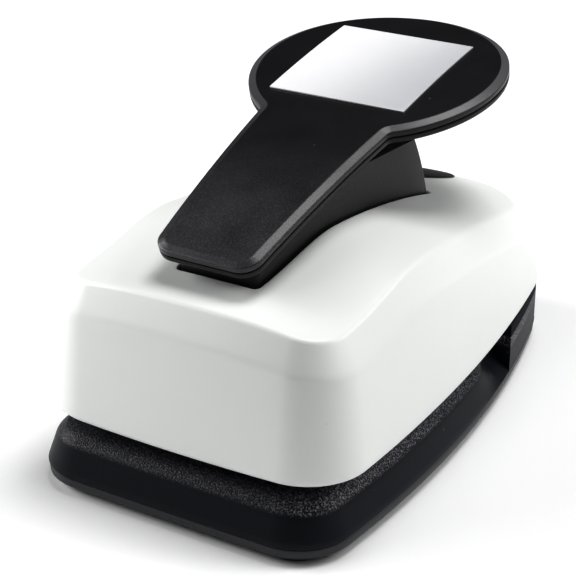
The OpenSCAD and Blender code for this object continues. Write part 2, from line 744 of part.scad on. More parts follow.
pivot_axle();
axle_clip(-1);  // axle_clip_l
axle_clip(1);  // axle_clip_r
guide_post(-1);  // guide_post_l
guide_post(1);  // guide_post_r
spring(-1, -1);  // spring_fl
spring(1, -1);  // spring_fr
spring(-1, 1);  // spring_rl
spring(1, 1);  // spring_rr
lever_body();
lever_cover();
label_plate();
roller_pin();
roller();
punch_block();
punch_head();
head_screw(-1);  // head_screw_l
head_screw(1);  // head_screw_r
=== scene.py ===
import bmesh
import bpy
import json
import math
import numpy as np
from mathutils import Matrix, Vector

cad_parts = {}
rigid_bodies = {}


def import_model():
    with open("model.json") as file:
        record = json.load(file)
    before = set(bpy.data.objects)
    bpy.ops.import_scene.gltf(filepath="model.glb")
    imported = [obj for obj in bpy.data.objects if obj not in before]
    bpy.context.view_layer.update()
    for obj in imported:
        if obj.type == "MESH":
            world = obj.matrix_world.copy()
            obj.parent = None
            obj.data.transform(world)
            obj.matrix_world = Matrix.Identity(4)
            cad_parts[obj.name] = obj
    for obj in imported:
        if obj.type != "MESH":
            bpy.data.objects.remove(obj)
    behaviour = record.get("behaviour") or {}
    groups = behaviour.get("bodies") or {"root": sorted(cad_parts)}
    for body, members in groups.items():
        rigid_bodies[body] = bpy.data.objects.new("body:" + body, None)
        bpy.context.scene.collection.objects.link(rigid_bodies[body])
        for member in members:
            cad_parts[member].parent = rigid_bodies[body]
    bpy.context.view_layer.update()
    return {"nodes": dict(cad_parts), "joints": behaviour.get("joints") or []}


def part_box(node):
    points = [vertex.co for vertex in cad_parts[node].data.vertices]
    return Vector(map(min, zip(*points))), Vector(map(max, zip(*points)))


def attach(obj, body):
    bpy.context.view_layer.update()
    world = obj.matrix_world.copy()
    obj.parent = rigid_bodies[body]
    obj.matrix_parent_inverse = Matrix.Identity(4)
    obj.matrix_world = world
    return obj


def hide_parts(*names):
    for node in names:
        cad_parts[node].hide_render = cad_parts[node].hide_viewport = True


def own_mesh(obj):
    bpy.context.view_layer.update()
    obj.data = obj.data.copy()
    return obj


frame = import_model()

MM = 0.001


def box_mm(node):
    """The low and high corners of a CAD node's box, in millimetres."""
    return tuple(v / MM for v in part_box(node))


def in_scene(name, data):
    obj = bpy.data.objects.new(name, data)
    bpy.context.scene.collection.objects.link(obj)
    return obj


# ---------------------------------------------------------------- camera
aim = Vector((-0.0051, -0.0148, 0.0333))
view_turn = math.radians(31.54)
view_rise = math.radians(24.5)
view_distance = 0.415

camera_data = bpy.data.cameras.new("camera")
camera_data.lens = 109.2
camera_data.sensor_width = 36.0
camera = in_scene("camera", camera_data)
towards_camera = Vector((
    math.sin(view_turn) * math.cos(view_rise),
    -math.cos(view_turn) * math.cos(view_rise),
    math.sin(view_rise)))
camera.location = aim + towards_camera * view_distance
camera.rotation_euler = (math.pi / 2 - view_rise, 0.0, view_turn)
bpy.context.scene.camera = camera

# ---------------------------------------------------------------- sizes, in millimetres
base_low, base_high = box_mm("base")
block_low, block_high = box_mm("punch_block")
cover_low, cover_high = box_mm("bottom_cover")
hinge = next(j for j in frame["joints"] if j["name"] == "lever_hinge")
pivot_y, pivot_z = hinge["pos_m"][1] / MM, hinge["pos_m"][2] / MM

front_y, rear_y = base_low.y, base_high.y
base_half_w = base_high.x
base_l = rear_y - front_y
cover_top_z = base_low.z
throat_top_z = base_high.z
throat_h, throat_l = 3.3, 99.5
deck_z = throat_top_z - throat_h
throat_wall_y = front_y + throat_l
house_front_y, house_rear_y = front_y + 3.1, rear_y - 1.2
corner_r = 13.4
die_y = (block_low.y + block_high.y) / 2
cut_w = block_high.x - block_low.x
wall = 2.2
chip_half = (cut_w + 3) / 2
die_half = (cut_w + 12) / 2 + 0.05
BELOW, ABOVE = -5, 30    # ends of the cutters, clear of the base
CORNERS = ("fl", "fr", "rl", "rr")


# ---------------------------------------------------------------- plan outlines
RUN = (12, 22, 40, 26, 16)


def heading(v):
    return math.atan2(v[1], v[0])


def arc_run(c, r, a0, a1, n):
    """Points on an arc with their outward normals, without its last point."""
    a = a0 + (a1 - a0) * np.arange(n) / n
    return np.stack([c[0] + r * np.cos(a), c[1] + r * np.sin(a), np.cos(a), np.sin(a)], 1)


def nested_centre(c1, r1, c2, r2, r, side):
    """Centre of an arc that touches two larger arcs from inside, on the given side."""
    c1, c2 = np.array(c1, float), np.array(c2, float)
    d1, d2, d = r1 - r, r2 - r, np.linalg.norm(c2 - c1)
    e = (c2 - c1) / d
    a = (d1 * d1 - d2 * d2 + d * d) / (2 * d)
    h = math.sqrt(max(d1 * d1 - a * a, 0.0))
    across = np.array([-e[1], e[0]])
    return max((c1 + a * e + h * across, c1 + a * e - h * across), key=lambda c: c @ np.array(side))


def outline(y0, front_r, tip_r, half_w, wide_y, side_r, y1, rear_r, shoulder_r):
    """A closed outline of arcs tangent to each other, as rows of x, y and the outward normal."""
    cf, cs, cr = (0.0, y0 + front_r), (half_w - side_r, wide_y), (0.0, y1 - rear_r)
    cc = nested_centre(cf, front_r, cs, side_r, tip_r, (1, -1))
    ct = nested_centre(cs, side_r, cr, rear_r, shoulder_r, (1, 1))
    a1, a2 = heading(cc - cf), heading(cc - cs)
    a3, a4 = heading(ct - cs), heading(ct - cr)
    half = np.concatenate([
        arc_run(cf, front_r, -math.pi / 2, a1, RUN[0]),
        arc_run(cc, tip_r, a1, a2, RUN[1]),
        arc_run(cs, side_r, a2, a3, RUN[2]),
        arc_run(ct, shoulder_r, a3, a4, RUN[3]),
        arc_run(cr, rear_r, a4, math.pi / 2, RUN[4]),
        [[0.0, y1, 0.0, 1.0]]])
    mirrored = half[-2:0:-1] * np.array([-1, 1, -1, 1])
    return np.concatenate([half, mirrored])


full_w = 2 * base_half_w
base_loop = outline(front_y, base_l * 14, corner_r, base_half_w, front_y + 42, base_l * 2.23,
                    rear_y, full_w * 0.52, full_w * 0.333)
house_loop = outline(house_front_y, base_l * 2.92, corner_r + 1.5, base_half_w - 0.5, front_y + 35.5,
                     base_l * 2.9, house_rear_y, full_w * 0.49, full_w * 0.363)


def at_inset(loop, inset, z):
    """The loop moved inward by inset and set at height z, each a number or one per point."""
    xy = loop[:, :2] - loop[:, 2:] * np.reshape(inset, (-1, 1))
    return np.column_stack([xy, np.broadcast_to(z, len(loop))])


def mix(a, b, t):
    return a * (1 - t) + b * t


def smooth(t):
    t = np.clip(t, 0, 1)
    return t * t * (3 - 2 * t)


def bend(a, b, c, steps):
    """Points along a curve from a to c that is drawn towards b; a, b, c are arrays of [inset, z]."""
    return [mix(mix(a, b, t), mix(b, c, t), t) for t in np.linspace(0, 1, steps)]


# ---------------------------------------------------------------- mesh helpers
def ring_quads(rings, n, closed):
    """Quads that join successive rings of n points, facing outward."""
    faces = []
    for k in range(rings if closed else rings - 1):
        m = (k + 1) % rings
        for i in range(n):
            j = (i + 1) % n
            faces.append((k * n + i, k * n + j, m * n + j, m * n + i))
    return faces


def piece(name, points, faces, material, sharp=40):
    """A mesh object in metres from points in millimetres, smooth but along sharp edges."""
    mesh = bpy.data.meshes.new(name)
    mesh.from_pydata((np.asarray(points, float) * MM).tolist(), [], [list(f) for f in faces])
    obj = in_scene(name, mesh)
    mesh.materials.append(material)
    tidy_mesh(obj, sharp)
    return obj


def tidy_mesh(obj, sharp=40):
    """Merges doubles, turns faces outward and marks the sharp edges."""
    bm = bmesh.new()
    bm.from_mesh(obj.data)
    bmesh.ops.remove_doubles(bm, verts=bm.verts, dist=2e-6)
    bmesh.ops.recalc_face_normals(bm, faces=bm.faces)
    bm.to_mesh(obj.data)
    bm.free()
    obj.data.shade_smooth()
    obj.data.set_sharp_from_angle(angle=math.radians(sharp))


def bake_modifiers(obj, sharp=40):
    """Turns the object with its modifiers into one plain mesh."""
    depsgraph = bpy.context.evaluated_depsgraph_get()
    mesh = bpy.data.meshes.new_from_object(obj.evaluated_get(depsgraph))
    obj.modifiers.clear()
    obj.data = mesh
    tidy_mesh(obj, sharp)
    return obj


def combine(obj, other, operation, sharp=40):
    """Joins or cuts obj with other, which is then removed."""
    modifier = obj.modifiers.new("combine", "BOOLEAN")
    modifier.object = other
    modifier.operation = operation
    modifier.solver = "MANIFOLD"
    bake_modifiers(obj, sharp)
    bpy.data.objects.remove(other)
    return obj


def block(name, low, high, material):
    """A closed box between two corners."""
    xs, ys, zs = zip(low, high)
    points = [(x, y, z) for x in xs for y in ys for z in zs]
    faces = [(0, 1, 3, 2), (4, 6, 7, 5), (0, 4, 5, 1), (2, 3, 7, 6), (0, 2, 6, 4), (1, 5, 7, 3)]
    return piece(name, points, faces, material)


def eased(obj, width, segments=2, angle=35, sharp=40):
    """Rounds the edges that are sharper than the angle, in millimetres."""
    modifier = obj.modifiers.new("ease", "BEVEL")
    modifier.width = width * MM
    modifier.segments = segments
    modifier.limit_method = "ANGLE"
    modifier.angle_limit = math.radians(angle)
    return bake_modifiers(obj, sharp)


def eased_copy(node, name, material, width, segments=2):
    """A copy of a CAD node with its flat faces whole and its edges rounded."""
    mesh = frame["nodes"][node].data.copy()
    mesh.materials.clear()
    mesh.materials.append(material)
    obj = in_scene(name, mesh)
    bm = bmesh.new()
    bm.from_mesh(mesh)
    bmesh.ops.remove_doubles(bm, verts=bm.verts, dist=2e-6)
    bmesh.ops.dissolve_limit(bm, angle_limit=math.radians(0.5), verts=bm.verts, edges=bm.edges)
    bm.to_mesh(mesh)
    bm.free()
    return eased(obj, width, segments)


def turned(name, profile, place, axis, material, steps=64, sharp=40):
    """A turned part: a profile of [radius, length], closed unless it starts on the axis."""
    profile = np.asarray(profile, float)
    turn = np.linspace(0, 2 * math.pi, steps, endpoint=False)
    rings = [np.column_stack([r * np.cos(turn), r * np.sin(turn), np.full(steps, z)]) for r, z in profile]
    points = np.concatenate(rings)
    if axis == "X":
        points = points[:, [2, 0, 1]]
    faces = ring_quads(len(rings), steps, profile[0, 0] > 0)
    return piece(name, points + np.asarray(place), faces, material, sharp)


def add(obj, body, slot, *nodes):
    """Puts a piece on its body and hides the CAD nodes that it stands for; its finish, the slot, is not
    used.
    """
    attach(obj, body)
    if nodes:
        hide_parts(*nodes)
    return obj


# ---------------------------------------------------------------- shader helpers
class Shader:
    """A node tree with short calls for making, setting and joining its nodes."""

    def __init__(self, tree):
        self.tree = tree

    def new(self, kind, **props):
        made = self.tree.nodes.new(kind)
        for key, value in props.items():
            setattr(made, key, value)
        return made

    def set(self, made, **values):
        for key, value in values.items():
            made.inputs[key.replace("_", " ")].default_value = value
        return made

    def join(self, source, target):
        self.tree.links.new(source, target)

    def feed(self, value, socket):
        """Joins an output to the socket, or sets the socket to a plain number."""
        if isinstance(value, (int, float)):
            socket.default_value = value
        else:
            self.join(value, socket)

    def math(self, operation, *values):
        made = self.new("ShaderNodeMath", operation=operation)
        for k, value in enumerate(values):
            self.feed(value, made.inputs[k])
        return made.outputs[0]

    def vector(self, x=0.0, y=0.0, z=0.0):
        made = self.new("ShaderNodeCombineXYZ")
        for key, value in zip("XYZ", (x, y, z)):
            self.feed(value, made.inputs[key])
        return made.outputs[0]

    def split(self, vector):
        """The X, Y and Z outputs of a vector."""
        parts = self.new("ShaderNodeSeparateXYZ")
        self.join(vector, parts.inputs[0])
        return parts.outputs

    def ranged(self, value, interpolation="SMOOTHSTEP", **limits):
        """The value carried from one range to another, by default with soft ends."""
        made = self.new("ShaderNodeMapRange", interpolation_type=interpolation)
        self.set(made, **limits)
        self.join(value, made.inputs["Value"])
        return made.outputs["Result"]

    def over(self, factor, under, colour):
        """The colour laid over the one under it, by the factor."""
        mixer = self.new("ShaderNodeMix", data_type="RGBA")
        mixer.inputs["B"].default_value = (*colour, 1.0)
        self.join(factor, mixer.inputs["Factor"])
        self.join(under, mixer.inputs["A"])
        return next(o for o in mixer.outputs if o.type == "RGBA")


def group(name, inputs, outputs):
    """An empty shader group with named value inputs and outputs."""
    tree = bpy.data.node_groups.new(name, "ShaderNodeTree")
    for label, value in inputs.items():
        socket = tree.interface.new_socket(label, in_out="INPUT", socket_type="NodeSocketFloat")
        socket.default_value = value
    for label in outputs:
        tree.interface.new_socket(label, in_out="OUTPUT", socket_type="NodeSocketFloat")
    return tree


def object_point(s):
    return s.new("ShaderNodeTexCoord").outputs["Object"]


def moulded_grain():
    """Fine spark-eroded grain, as moulded plastic has: Height for a bump, and a grain mask that the
    materials use for painted glints and a painted sheen.
    """
    tree = group("moulded grain", {"Scale": 1500.0, "Depth": 1.0}, ("Height", "Glint"))
    s = Shader(tree)
    source, sink = s.new("NodeGroupInput"), s.new("NodeGroupOutput")
    coarse = s.set(s.new("ShaderNodeTexNoise"), Detail=2.0, Roughness=0.6)
    fine = s.set(s.new("ShaderNodeTexVoronoi", feature="SMOOTH_F1"), Smoothness=0.6)
    for texture in (coarse, fine):
        s.join(object_point(s), texture.inputs["Vector"])
        s.join(source.outputs["Scale"], texture.inputs["Scale"])
    total = s.math("ADD", coarse.outputs["Fac"], fine.outputs["Distance"])
    s.join(s.math("MULTIPLY", total, source.outputs["Depth"]), sink.inputs["Height"])
    s.join(s.ranged(coarse.outputs["Fac"], From_Min=0.44, From_Max=0.70), sink.inputs["Glint"])
    return tree


def handling():
    """Slow changes over a surface: Patch is a soft mottle, Dust a few light specks."""
    tree = group("handling", {"Patch Scale": 40.0, "Dust Scale": 260.0, "Dust Amount": 0.2},
                 ("Patch", "Dust"))
    s = Shader(tree)
    source, sink = s.new("NodeGroupInput"), s.new("NodeGroupOutput")
    patch = s.set(s.new("ShaderNodeTexNoise"), Detail=3.0, Roughness=0.55)
    specks = s.set(s.new("ShaderNodeTexVoronoi", feature="F1"), Randomness=1.0)
    for texture, scale in ((patch, "Patch Scale"), (specks, "Dust Scale")):
        s.join(object_point(s), texture.inputs["Vector"])
        s.join(source.outputs[scale], texture.inputs["Scale"])
    s.join(patch.outputs["Fac"], sink.inputs["Patch"])
    near = s.ranged(specks.outputs["Distance"], "LINEAR", From_Min=0.02, From_Max=0.1,
                    To_Min=1.0, To_Max=0.0)
    cell = s.new("ShaderNodeSeparateColor")
    s.join(specks.outputs["Color"], cell.inputs["Color"])
    chosen = s.math("LESS_THAN", cell.outputs["Red"], source.outputs["Dust Amount"])
    s.join(s.math("MULTIPLY", near, chosen), sink.inputs["Dust"])
    return tree


def machining():
    """Fine parallel tool marks, as on ground or drawn metal: Height and Streak."""
    tree = group("machining", {"Fine": 2500.0, "Long": 60.0}, ("Height", "Streak"))
    s = Shader(tree)
    source, sink = s.new("NodeGroupInput"), s.new("NodeGroupOutput")
    place = s.split(object_point(s))
    stretched = [s.math("MULTIPLY", place[axis], source.outputs[rate])
                 for axis, rate in (("X", "Fine"), ("Y", "Long"), ("Z", "Fine"))]
    noise = s.set(s.new("ShaderNodeTexNoise"), Scale=1.0, Detail=2.0)
    s.join(s.vector(*stretched), noise.inputs["Vector"])
    for label in ("Height", "Streak"):
        s.join(noise.outputs["Fac"], sink.inputs[label])
    return tree


GRAIN, HANDLING, MACHINING = moulded_grain(), handling(), machining()


def place_group(s, tree, **values):
    placed = s.new("ShaderNodeGroup")
    placed.node_tree = tree
    return s.set(placed, **values)


def start_material(name, **fixed):
    material = bpy.data.materials.new(name)
    material.use_nodes = True
    s = Shader(material.node_tree)
    shader = material.node_tree.nodes["Principled BSDF"]
    s.set(shader, **fixed)
    return material, s, shader


def blend_colour(s, factor, low, high, target=None):
    """Colour between low and high by the factor, into the target socket if there is one."""
    mixer = s.new("ShaderNodeMix", data_type="RGBA")
    mixer.inputs["A"].default_value = (*low, 1.0)
    mixer.inputs["B"].default_value = (*high, 1.0)
    s.join(factor, mixer.inputs["Factor"])
    colour = next(o for o in mixer.outputs if o.type == "RGBA")
    if target is not None:
        s.join(colour, target)
    return colour


def blend_value(s, factor, low, high, target=None):
    """Value between low and high as the factor goes from 0 to 1, into the target if there is one."""
    value = s.ranged(factor, "LINEAR", To_Min=low, To_Max=high)
    if target is not None:
        s.join(value, target)
    return value


def bump(s, height, distance, shader):
    relief = s.set(s.new("ShaderNodeBump"), Strength=1.0, Distance=distance)
    s.join(height, relief.inputs["Height"])
    s.join(relief.outputs["Normal"], shader.inputs["Normal"])


def black_plastic(name, colour, dusty, rough, grain_scale, grain_depth, specular):
    """Moulded black plastic: fine grain, slow mottle in gloss, and a few specks of dust."""
    material, s, shader = start_material(name, Specular_IOR_Level=specular)
    hand = place_group(s, HANDLING, Dust_Amount=0.06)
    grain = place_group(s, GRAIN, Scale=grain_scale)
    blend_colour(s, hand.outputs["Dust"], colour, dusty, shader.inputs["Base Color"])
    blend_value(s, hand.outputs["Patch"], rough - 0.07, rough + 0.07, shader.inputs["Roughness"])
    bump(s, grain.outputs["Height"], grain_depth * MM, shader)
    return material


def lever_black():
    """The lever: fine grained black, with a painted grey sheen towards its front end and a painted highlight
    on its bevel, stronger towards the paddle.
    """
    material, s, shader = start_material("lever black", Specular_IOR_Level=0.42)
    hand = place_group(s, HANDLING, Patch_Scale=70.0, Dust_Amount=0.1)
    grain = place_group(s, GRAIN, Scale=2600.0)
    along = s.split(object_point(s))["Y"]
    # Painted sheen: the top turns greyer towards the front end, mottled by the grain, where the light's
    # reflection falls.
    front_sheen_ramp = s.ranged(along, From_Min=-0.012, From_Max=-0.056, To_Min=0.06)
    mottle = s.math("MULTIPLY_ADD", grain.outputs["Glint"], 0.6, hand.outputs["Patch"])
    painted_front_sheen = s.math("MULTIPLY", front_sheen_ramp, mottle)
    plain = blend_colour(s, painted_front_sheen, (0.0145, 0.0135, 0.0152), (0.075, 0.073, 0.08))
    # Painted highlight: the bevel faces are made lighter, more so towards the paddle, where the light from
    # the right catches them.
    bevel = s.new("ShaderNodeAttribute", attribute_name="bevel").outputs["Fac"]
    highlight_to_paddle = s.ranged(along, From_Min=-0.045, From_Max=0.03, To_Min=0.05)
    bevel_highlighted = s.over(s.math("MULTIPLY", bevel, highlight_to_paddle), plain, (0.125, 0.122, 0.13))
    s.join(s.over(hand.outputs["Dust"], bevel_highlighted, (0.10, 0.10, 0.10)), shader.inputs["Base Color"])
    blend_value(s, hand.outputs["Patch"], 0.27, 0.42, shader.inputs["Roughness"])
    bump(s, grain.outputs["Height"], 0.016 * MM, shader)
    return material


def base_black():
    """The base: smooth satin side band, grain on the shoulder and throat floor with painted glints on its
    specks, stronger on the right side, dull column.
    """
    material, s, shader = start_material("base black", Specular_IOR_Level=0.2)
    hand = place_group(s, HANDLING, Dust_Amount=0.07)
    grain = place_group(s, GRAIN, Scale=2600.0)
    place = s.split(object_point(s))
    shoulder = s.ranged(place["Z"], From_Min=(deck_z - 3.2) * MM, From_Max=(deck_z - 2.2) * MM)
    under_throat = s.math("LESS_THAN", place["Z"], (deck_z + 0.1) * MM)
    textured = s.math("MULTIPLY", shoulder, under_throat)
    # Painted highlight: the grain's specks on the shoulder are painted as light glints, stronger on the
    # right side where the light falls.
    painted_glint = s.math("MULTIPLY", grain.outputs["Glint"], textured)
    side = s.ranged(place["X"], From_Min=0.022, From_Max=0.036, To_Min=0.36)
    painted_glint_right = s.math("MULTIPLY", painted_glint, side)
    plain = blend_colour(s, painted_glint_right, (0.0135, 0.0145, 0.0205), (0.30, 0.295, 0.325))
    s.join(s.over(hand.outputs["Dust"], plain, (0.12, 0.12, 0.125)), shader.inputs["Base Color"])
    dullness = s.ranged(place["Z"], "LINEAR", From_Min=deck_z * MM, From_Max=(deck_z + 0.4) * MM,
                        To_Min=0.42, To_Max=0.85)
    s.join(dullness, shader.inputs["Roughness"])
    depth = blend_value(s, textured, 0.12, 1.0)
    bump(s, s.math("MULTIPLY", grain.outputs["Height"], depth), 0.09 * MM, shader)
    return material


def housing_white():
    """Satin white plastic with a very slight green."""
    material, s, shader = start_material("housing white", Specular_IOR_Level=0.45)
    hand = place_group(s, HANDLING, Patch_Scale=25.0, Dust_Amount=0.015)
    grain = place_group(s, GRAIN, Scale=2200.0)
    tone = blend_colour(s, hand.outputs["Patch"], (0.80, 0.815, 0.80), (0.835, 0.845, 0.835))
    s.join(s.over(hand.outputs["Dust"], tone, (0.55, 0.56, 0.55)), shader.inputs["Base Color"])
    blend_value(s, hand.outputs["Patch"], 0.33, 0.43, shader.inputs["Roughness"])
    bump(s, grain.outputs["Height"], 0.006 * MM, shader)
    return material


def label_film():
    """Satin silver film on the lever's label, with a painted reflection: a soft change from pale to
    blue-grey across it.
    """
    material, s, shader = start_material("label film", Metallic=0.15, Specular_IOR_Level=0.5)
    hand = place_group(s, HANDLING, Patch_Scale=60.0, Dust_Scale=400.0, Dust_Amount=0.12)
    marks = place_group(s, MACHINING, Fine=900.0, Long=900.0)
    across = s.new("ShaderNodeVectorMath", operation="DOT_PRODUCT")
    s.join(object_point(s), across.inputs[0])
    across.inputs[1].default_value = (0.95, -0.22, 0.0)
    # Painted reflection: the film goes from pale to blue-grey across the label, with a slight mottle.
    painted_reflection_fade = s.ranged(across.outputs["Value"], From_Min=-0.022, From_Max=0.02)
    reflection_with_mottle = s.math("MULTIPLY_ADD", hand.outputs["Patch"], 0.12, painted_reflection_fade)
    blend_colour(s, reflection_with_mottle, (0.95, 0.95, 0.96), (0.55, 0.555, 0.575), shader.inputs["Base Color"])
    blend_value(s, marks.outputs["Streak"], 0.36, 0.5, shader.inputs["Roughness"])
    bump(s, marks.outputs["Height"], 0.01 * MM, shader)
    return material


def metal(name, colour, rough, fine, long):
    """Steel or zinc with tool marks along its length and a soft change in tone."""
    material, s, shader = start_material(name, Metallic=1.0)
    hand = place_group(s, HANDLING, Patch_Scale=90.0)
    marks = place_group(s, MACHINING, Fine=fine, Long=long)
    darker = tuple(0.86 * c for c in colour)
    blend_colour(s, hand.outputs["Patch"], darker, colour, shader.inputs["Base Color"])
    blend_value(s, marks.outputs["Streak"], rough - 0.08, rough + 0.08, shader.inputs["Roughness"])
    bump(s, marks.outputs["Height"], 0.012 * MM, shader)
    return material


def pale_nylon():
    material, s, shader = start_material("roller nylon", Specular_IOR_Level=0.5)
    hand = place_group(s, HANDLING, Patch_Scale=120.0)
    blend_colour(s, hand.outputs["Patch"], (0.70, 0.69, 0.64), (0.78, 0.77, 0.73),
                 shader.inputs["Base Color"])
    blend_value(s, hand.outputs["Patch"], 0.3, 0.45, shader.inputs["Roughness"])
    return material


BASE_BLACK = base_black()
# The cover's black is lighter than the base's black: painted reflection of the floor in the cover's side.
COVER_BLACK = black_plastic("cover black", (0.042, 0.043, 0.05), (0.12, 0.12, 0.12), 0.4, 2200.0, 0.012, 0.5)
LEVER_BLACK = lever_black()
UNDER_BLACK = black_plastic("lever under black", (0.0125, 0.012, 0.0135), (0.09, 0.09, 0.09), 0.4,
                            1900.0, 0.02, 0.4)
HEAD_BLACK = black_plastic("head black", (0.012, 0.012, 0.014), (0.08, 0.08, 0.08), 0.5, 2200.0, 0.02, 0.4)
RUBBER = black_plastic("foot rubber", (0.010, 0.010, 0.011), (0.12, 0.12, 0.11), 0.75, 1200.0, 0.05, 0.3)
HOUSING_WHITE = housing_white()
LABEL_FILM = label_film()
DIE_STEEL = metal("die steel", (0.56, 0.57, 0.59), 0.28, 3000.0, 60.0)
GUIDE_ZINC = metal("guide zinc", (0.48, 0.49, 0.51), 0.45, 900.0, 700.0)
BRACKET_STEEL = metal("bracket steel", (0.50, 0.51, 0.53), 0.38, 1500.0, 90.0)
PIN_STEEL = metal("pin steel", (0.66, 0.67, 0.69), 0.2, 4000.0, 4000.0)
SPRING_STEEL = metal("spring steel", (0.60, 0.61, 0.63), 0.25, 3000.0, 3000.0)
SCREW_STEEL = metal("screw steel", (0.46, 0.47, 0.49), 0.33, 2600.0, 2600.0)
ROLLER_NYLON = pale_nylon()

# ---------------------------------------------------------------- base
def near_wall(y):
    return smooth((y - throat_wall_y + 20) / 18)


def base_rings():
    """Rings of the base from its foot, up the side band and over the rounded shoulder."""
    w = near_wall(base_loop[:, 1])[:, None]
    low = np.array([0.0, cover_top_z + 0.55])
    band = np.concatenate([mix(2.3, 5.0, w), mix(deck_z - 2.7, deck_z - 5.1, w)], 1)
    brow = np.concatenate([band[:, :1] + 2.9, np.full_like(w, deck_z)], 1)
    start = np.broadcast_to(np.array([0.45, cover_top_z]), band.shape)
    low = np.broadcast_to(low, band.shape)
    rows = bend(start, np.broadcast_to(np.array([0.03, cover_top_z + 0.05]), band.shape), low, 5)
    rows += [mix(low, band, t) for t in (0.2, 0.4, 0.6, 0.8)]
    rows += bend(mix(low, band, 0.88), band, mix(band, brow, 0.3), 7)
    rows += bend(mix(band, brow, 0.5), brow, brow + np.array([2.4, 0.0]), 9)
    return [at_inset(base_loop, r[:, 0], r[:, 1]) for r in rows]


def capped(name, rings, material, sharp=40):
    """A closed solid from rings, with a flat cap at each end."""
    n = len(rings[0])
    faces = ring_quads(len(rings), n, False)
    faces.append(tuple(range(n - 1, -1, -1)))
    faces.append(tuple((len(rings) - 1) * n + i for i in range(n)))
    return piece(name, np.concatenate(rings), faces, material, sharp)


def column_loop(inset):
    """The part of the base outline behind the throat's wall, closed by a straight front."""
    xy = base_loop[:, :2] - base_loop[:, 2:] * inset
    behind = xy[xy[:, 1] > throat_wall_y]
    right = behind[behind[:, 0] > 0]
    x_wall = float(np.interp(throat_wall_y, *outline_side(xy)))
    left = behind[behind[:, 0] <= 0]
    return np.array([[x_wall, throat_wall_y], *right, *left, [-x_wall, throat_wall_y]])


def outline_side(xy):
    """Height along Y against X for the right side of an outline, for looking up a width."""
    side = xy[(xy[:, 0] > 0) & (xy[:, 1] > front_y + 20) & (xy[:, 1] < rear_y - 20)]
    side = side[np.argsort(side[:, 1])]
    return side[:, 1], side[:, 0]


def make_base():
    base = capped("base_moulding", base_rings(), BASE_BLACK, 30)
    top = throat_top_z - 0.02
    rings = []
    for inset, z in ((0.5, cover_top_z), (0.06, cover_top_z + 0.5), (0.06, top - 0.3), (0.3, top)):
        loop = column_loop(inset)
        rings.append(np.column_stack([loop, np.full(len(loop), z)]))
    combine(base, capped("column", rings, BASE_BLACK), "UNION", 30)
    for half, bottom in ((chip_half, BELOW), (die_half, deck_z - 2.5)):
        cut = block("opening", (-half, die_y - half, bottom), (half, die_y + half, ABOVE), BASE_BLACK)
        combine(base, cut, "DIFFERENCE", 30)
    add(base, "base", "base_black", "base")


def rod_profile(r, low, high):
    return [(0.0, low), (r, low), (r, high), (0.0, high)]


def sink_seat(cover, node, clearance, top):
    """Cuts a round seat from below into the cover, for a foot or the head of a screw."""
    lo, hi = box_mm(node)
    centre = (lo + hi) / 2
    profile = rod_profile((hi.x - lo.x) / 2 + clearance, -3, top)
    cut = turned("seat", profile, (centre.x, centre.y, 0), "Z", COVER_BLACK, 48)
    combine(cover, cut, "DIFFERENCE", 30)


def make_bottom_cover():
    low, high = cover_low.z, cover_high.z
    rows = [(2.6, low), (2.2, low + 0.05), (1.9, low + 0.25), (0.5, low + 1.45), (0.3, low + 1.65),
            (0.25, low + 1.9), (0.25, high - 0.35), (0.36, high - 0.1), (0.7, high)]
    cover = capped("bottom_plate", [at_inset(base_loop, d, z) for d, z in rows], COVER_BLACK, 30)
    hole = block("chip_hole", (-chip_half, die_y - chip_half, BELOW),
                 (chip_half, die_y + chip_half, 10), COVER_BLACK)
    combine(cover, hole, "DIFFERENCE", 30)
    for corner in CORNERS:
        sink_seat(cover, "foot_" + corner, 0.1, box_mm("foot_" + corner)[1].z)
    for corner in CORNERS:
        sink_seat(cover, "cover_screw_" + corner, 0.2, low + 1.1)
    add(cover, "base", "cover_black", "bottom_cover")


def make_feet():
    for corner in CORNERS:
        node = "foot_" + corner
        lo, hi = box_mm(node)
        r, h = (hi.x - lo.x) / 2, hi.z - lo.z
        centre = (lo + hi) / 2
        profile = [(0.0, 0.12), (r * 0.45, 0.12), (r * 0.5, 0.0), (r - 0.35, 0.0), (r - 0.1, 0.08),
                   (r, 0.3), (r, h), (0.0, h)]
        foot = turned(node + "_pad", profile, (centre.x, centre.y, lo.z), "Z", RUBBER, 48)
        add(foot, "base", "foot_rubber", node)


# ---------------------------------------------------------------- housing
front_top_z, crest_z, rear_top_z = 50.6, 57.2, 33.0
front_crown, rear_crown, crown_half_w = 3.2, 15.0, 34.0
crest_y = front_y + 49.5
skirt_front_y = pivot_y - 2.2
skirt_r = 68.1
SKIRT_TAPER = math.tan(math.radians(4.6))


def skirt_half(y):
    return 10.1 + (y - skirt_front_y) * SKIRT_TAPER


def toward_rear(y):
    return np.clip((y - front_y - 14) / (base_l - 28), 0, 1)


def top_z(x, y):
    """Height of the crowned top: a soft rise to the crest, then a long fall to the rear."""
    ahead = np.clip((y - house_front_y) / (crest_y - house_front_y), 0, 1)
    rise = mix(front_top_z, crest_z, smooth(ahead ** 1.5))
    back = np.clip((y - crest_y) / (house_rear_y - crest_y), 0, 1)
    fall = crest_z - (crest_z - rear_top_z) * back ** 2
    along = np.where(y < crest_y, rise, fall)
    crown = mix(front_crown, rear_crown, toward_rear(y) ** 1.55)
    return along - crown * (np.abs(x) / crown_half_w) ** 2.5


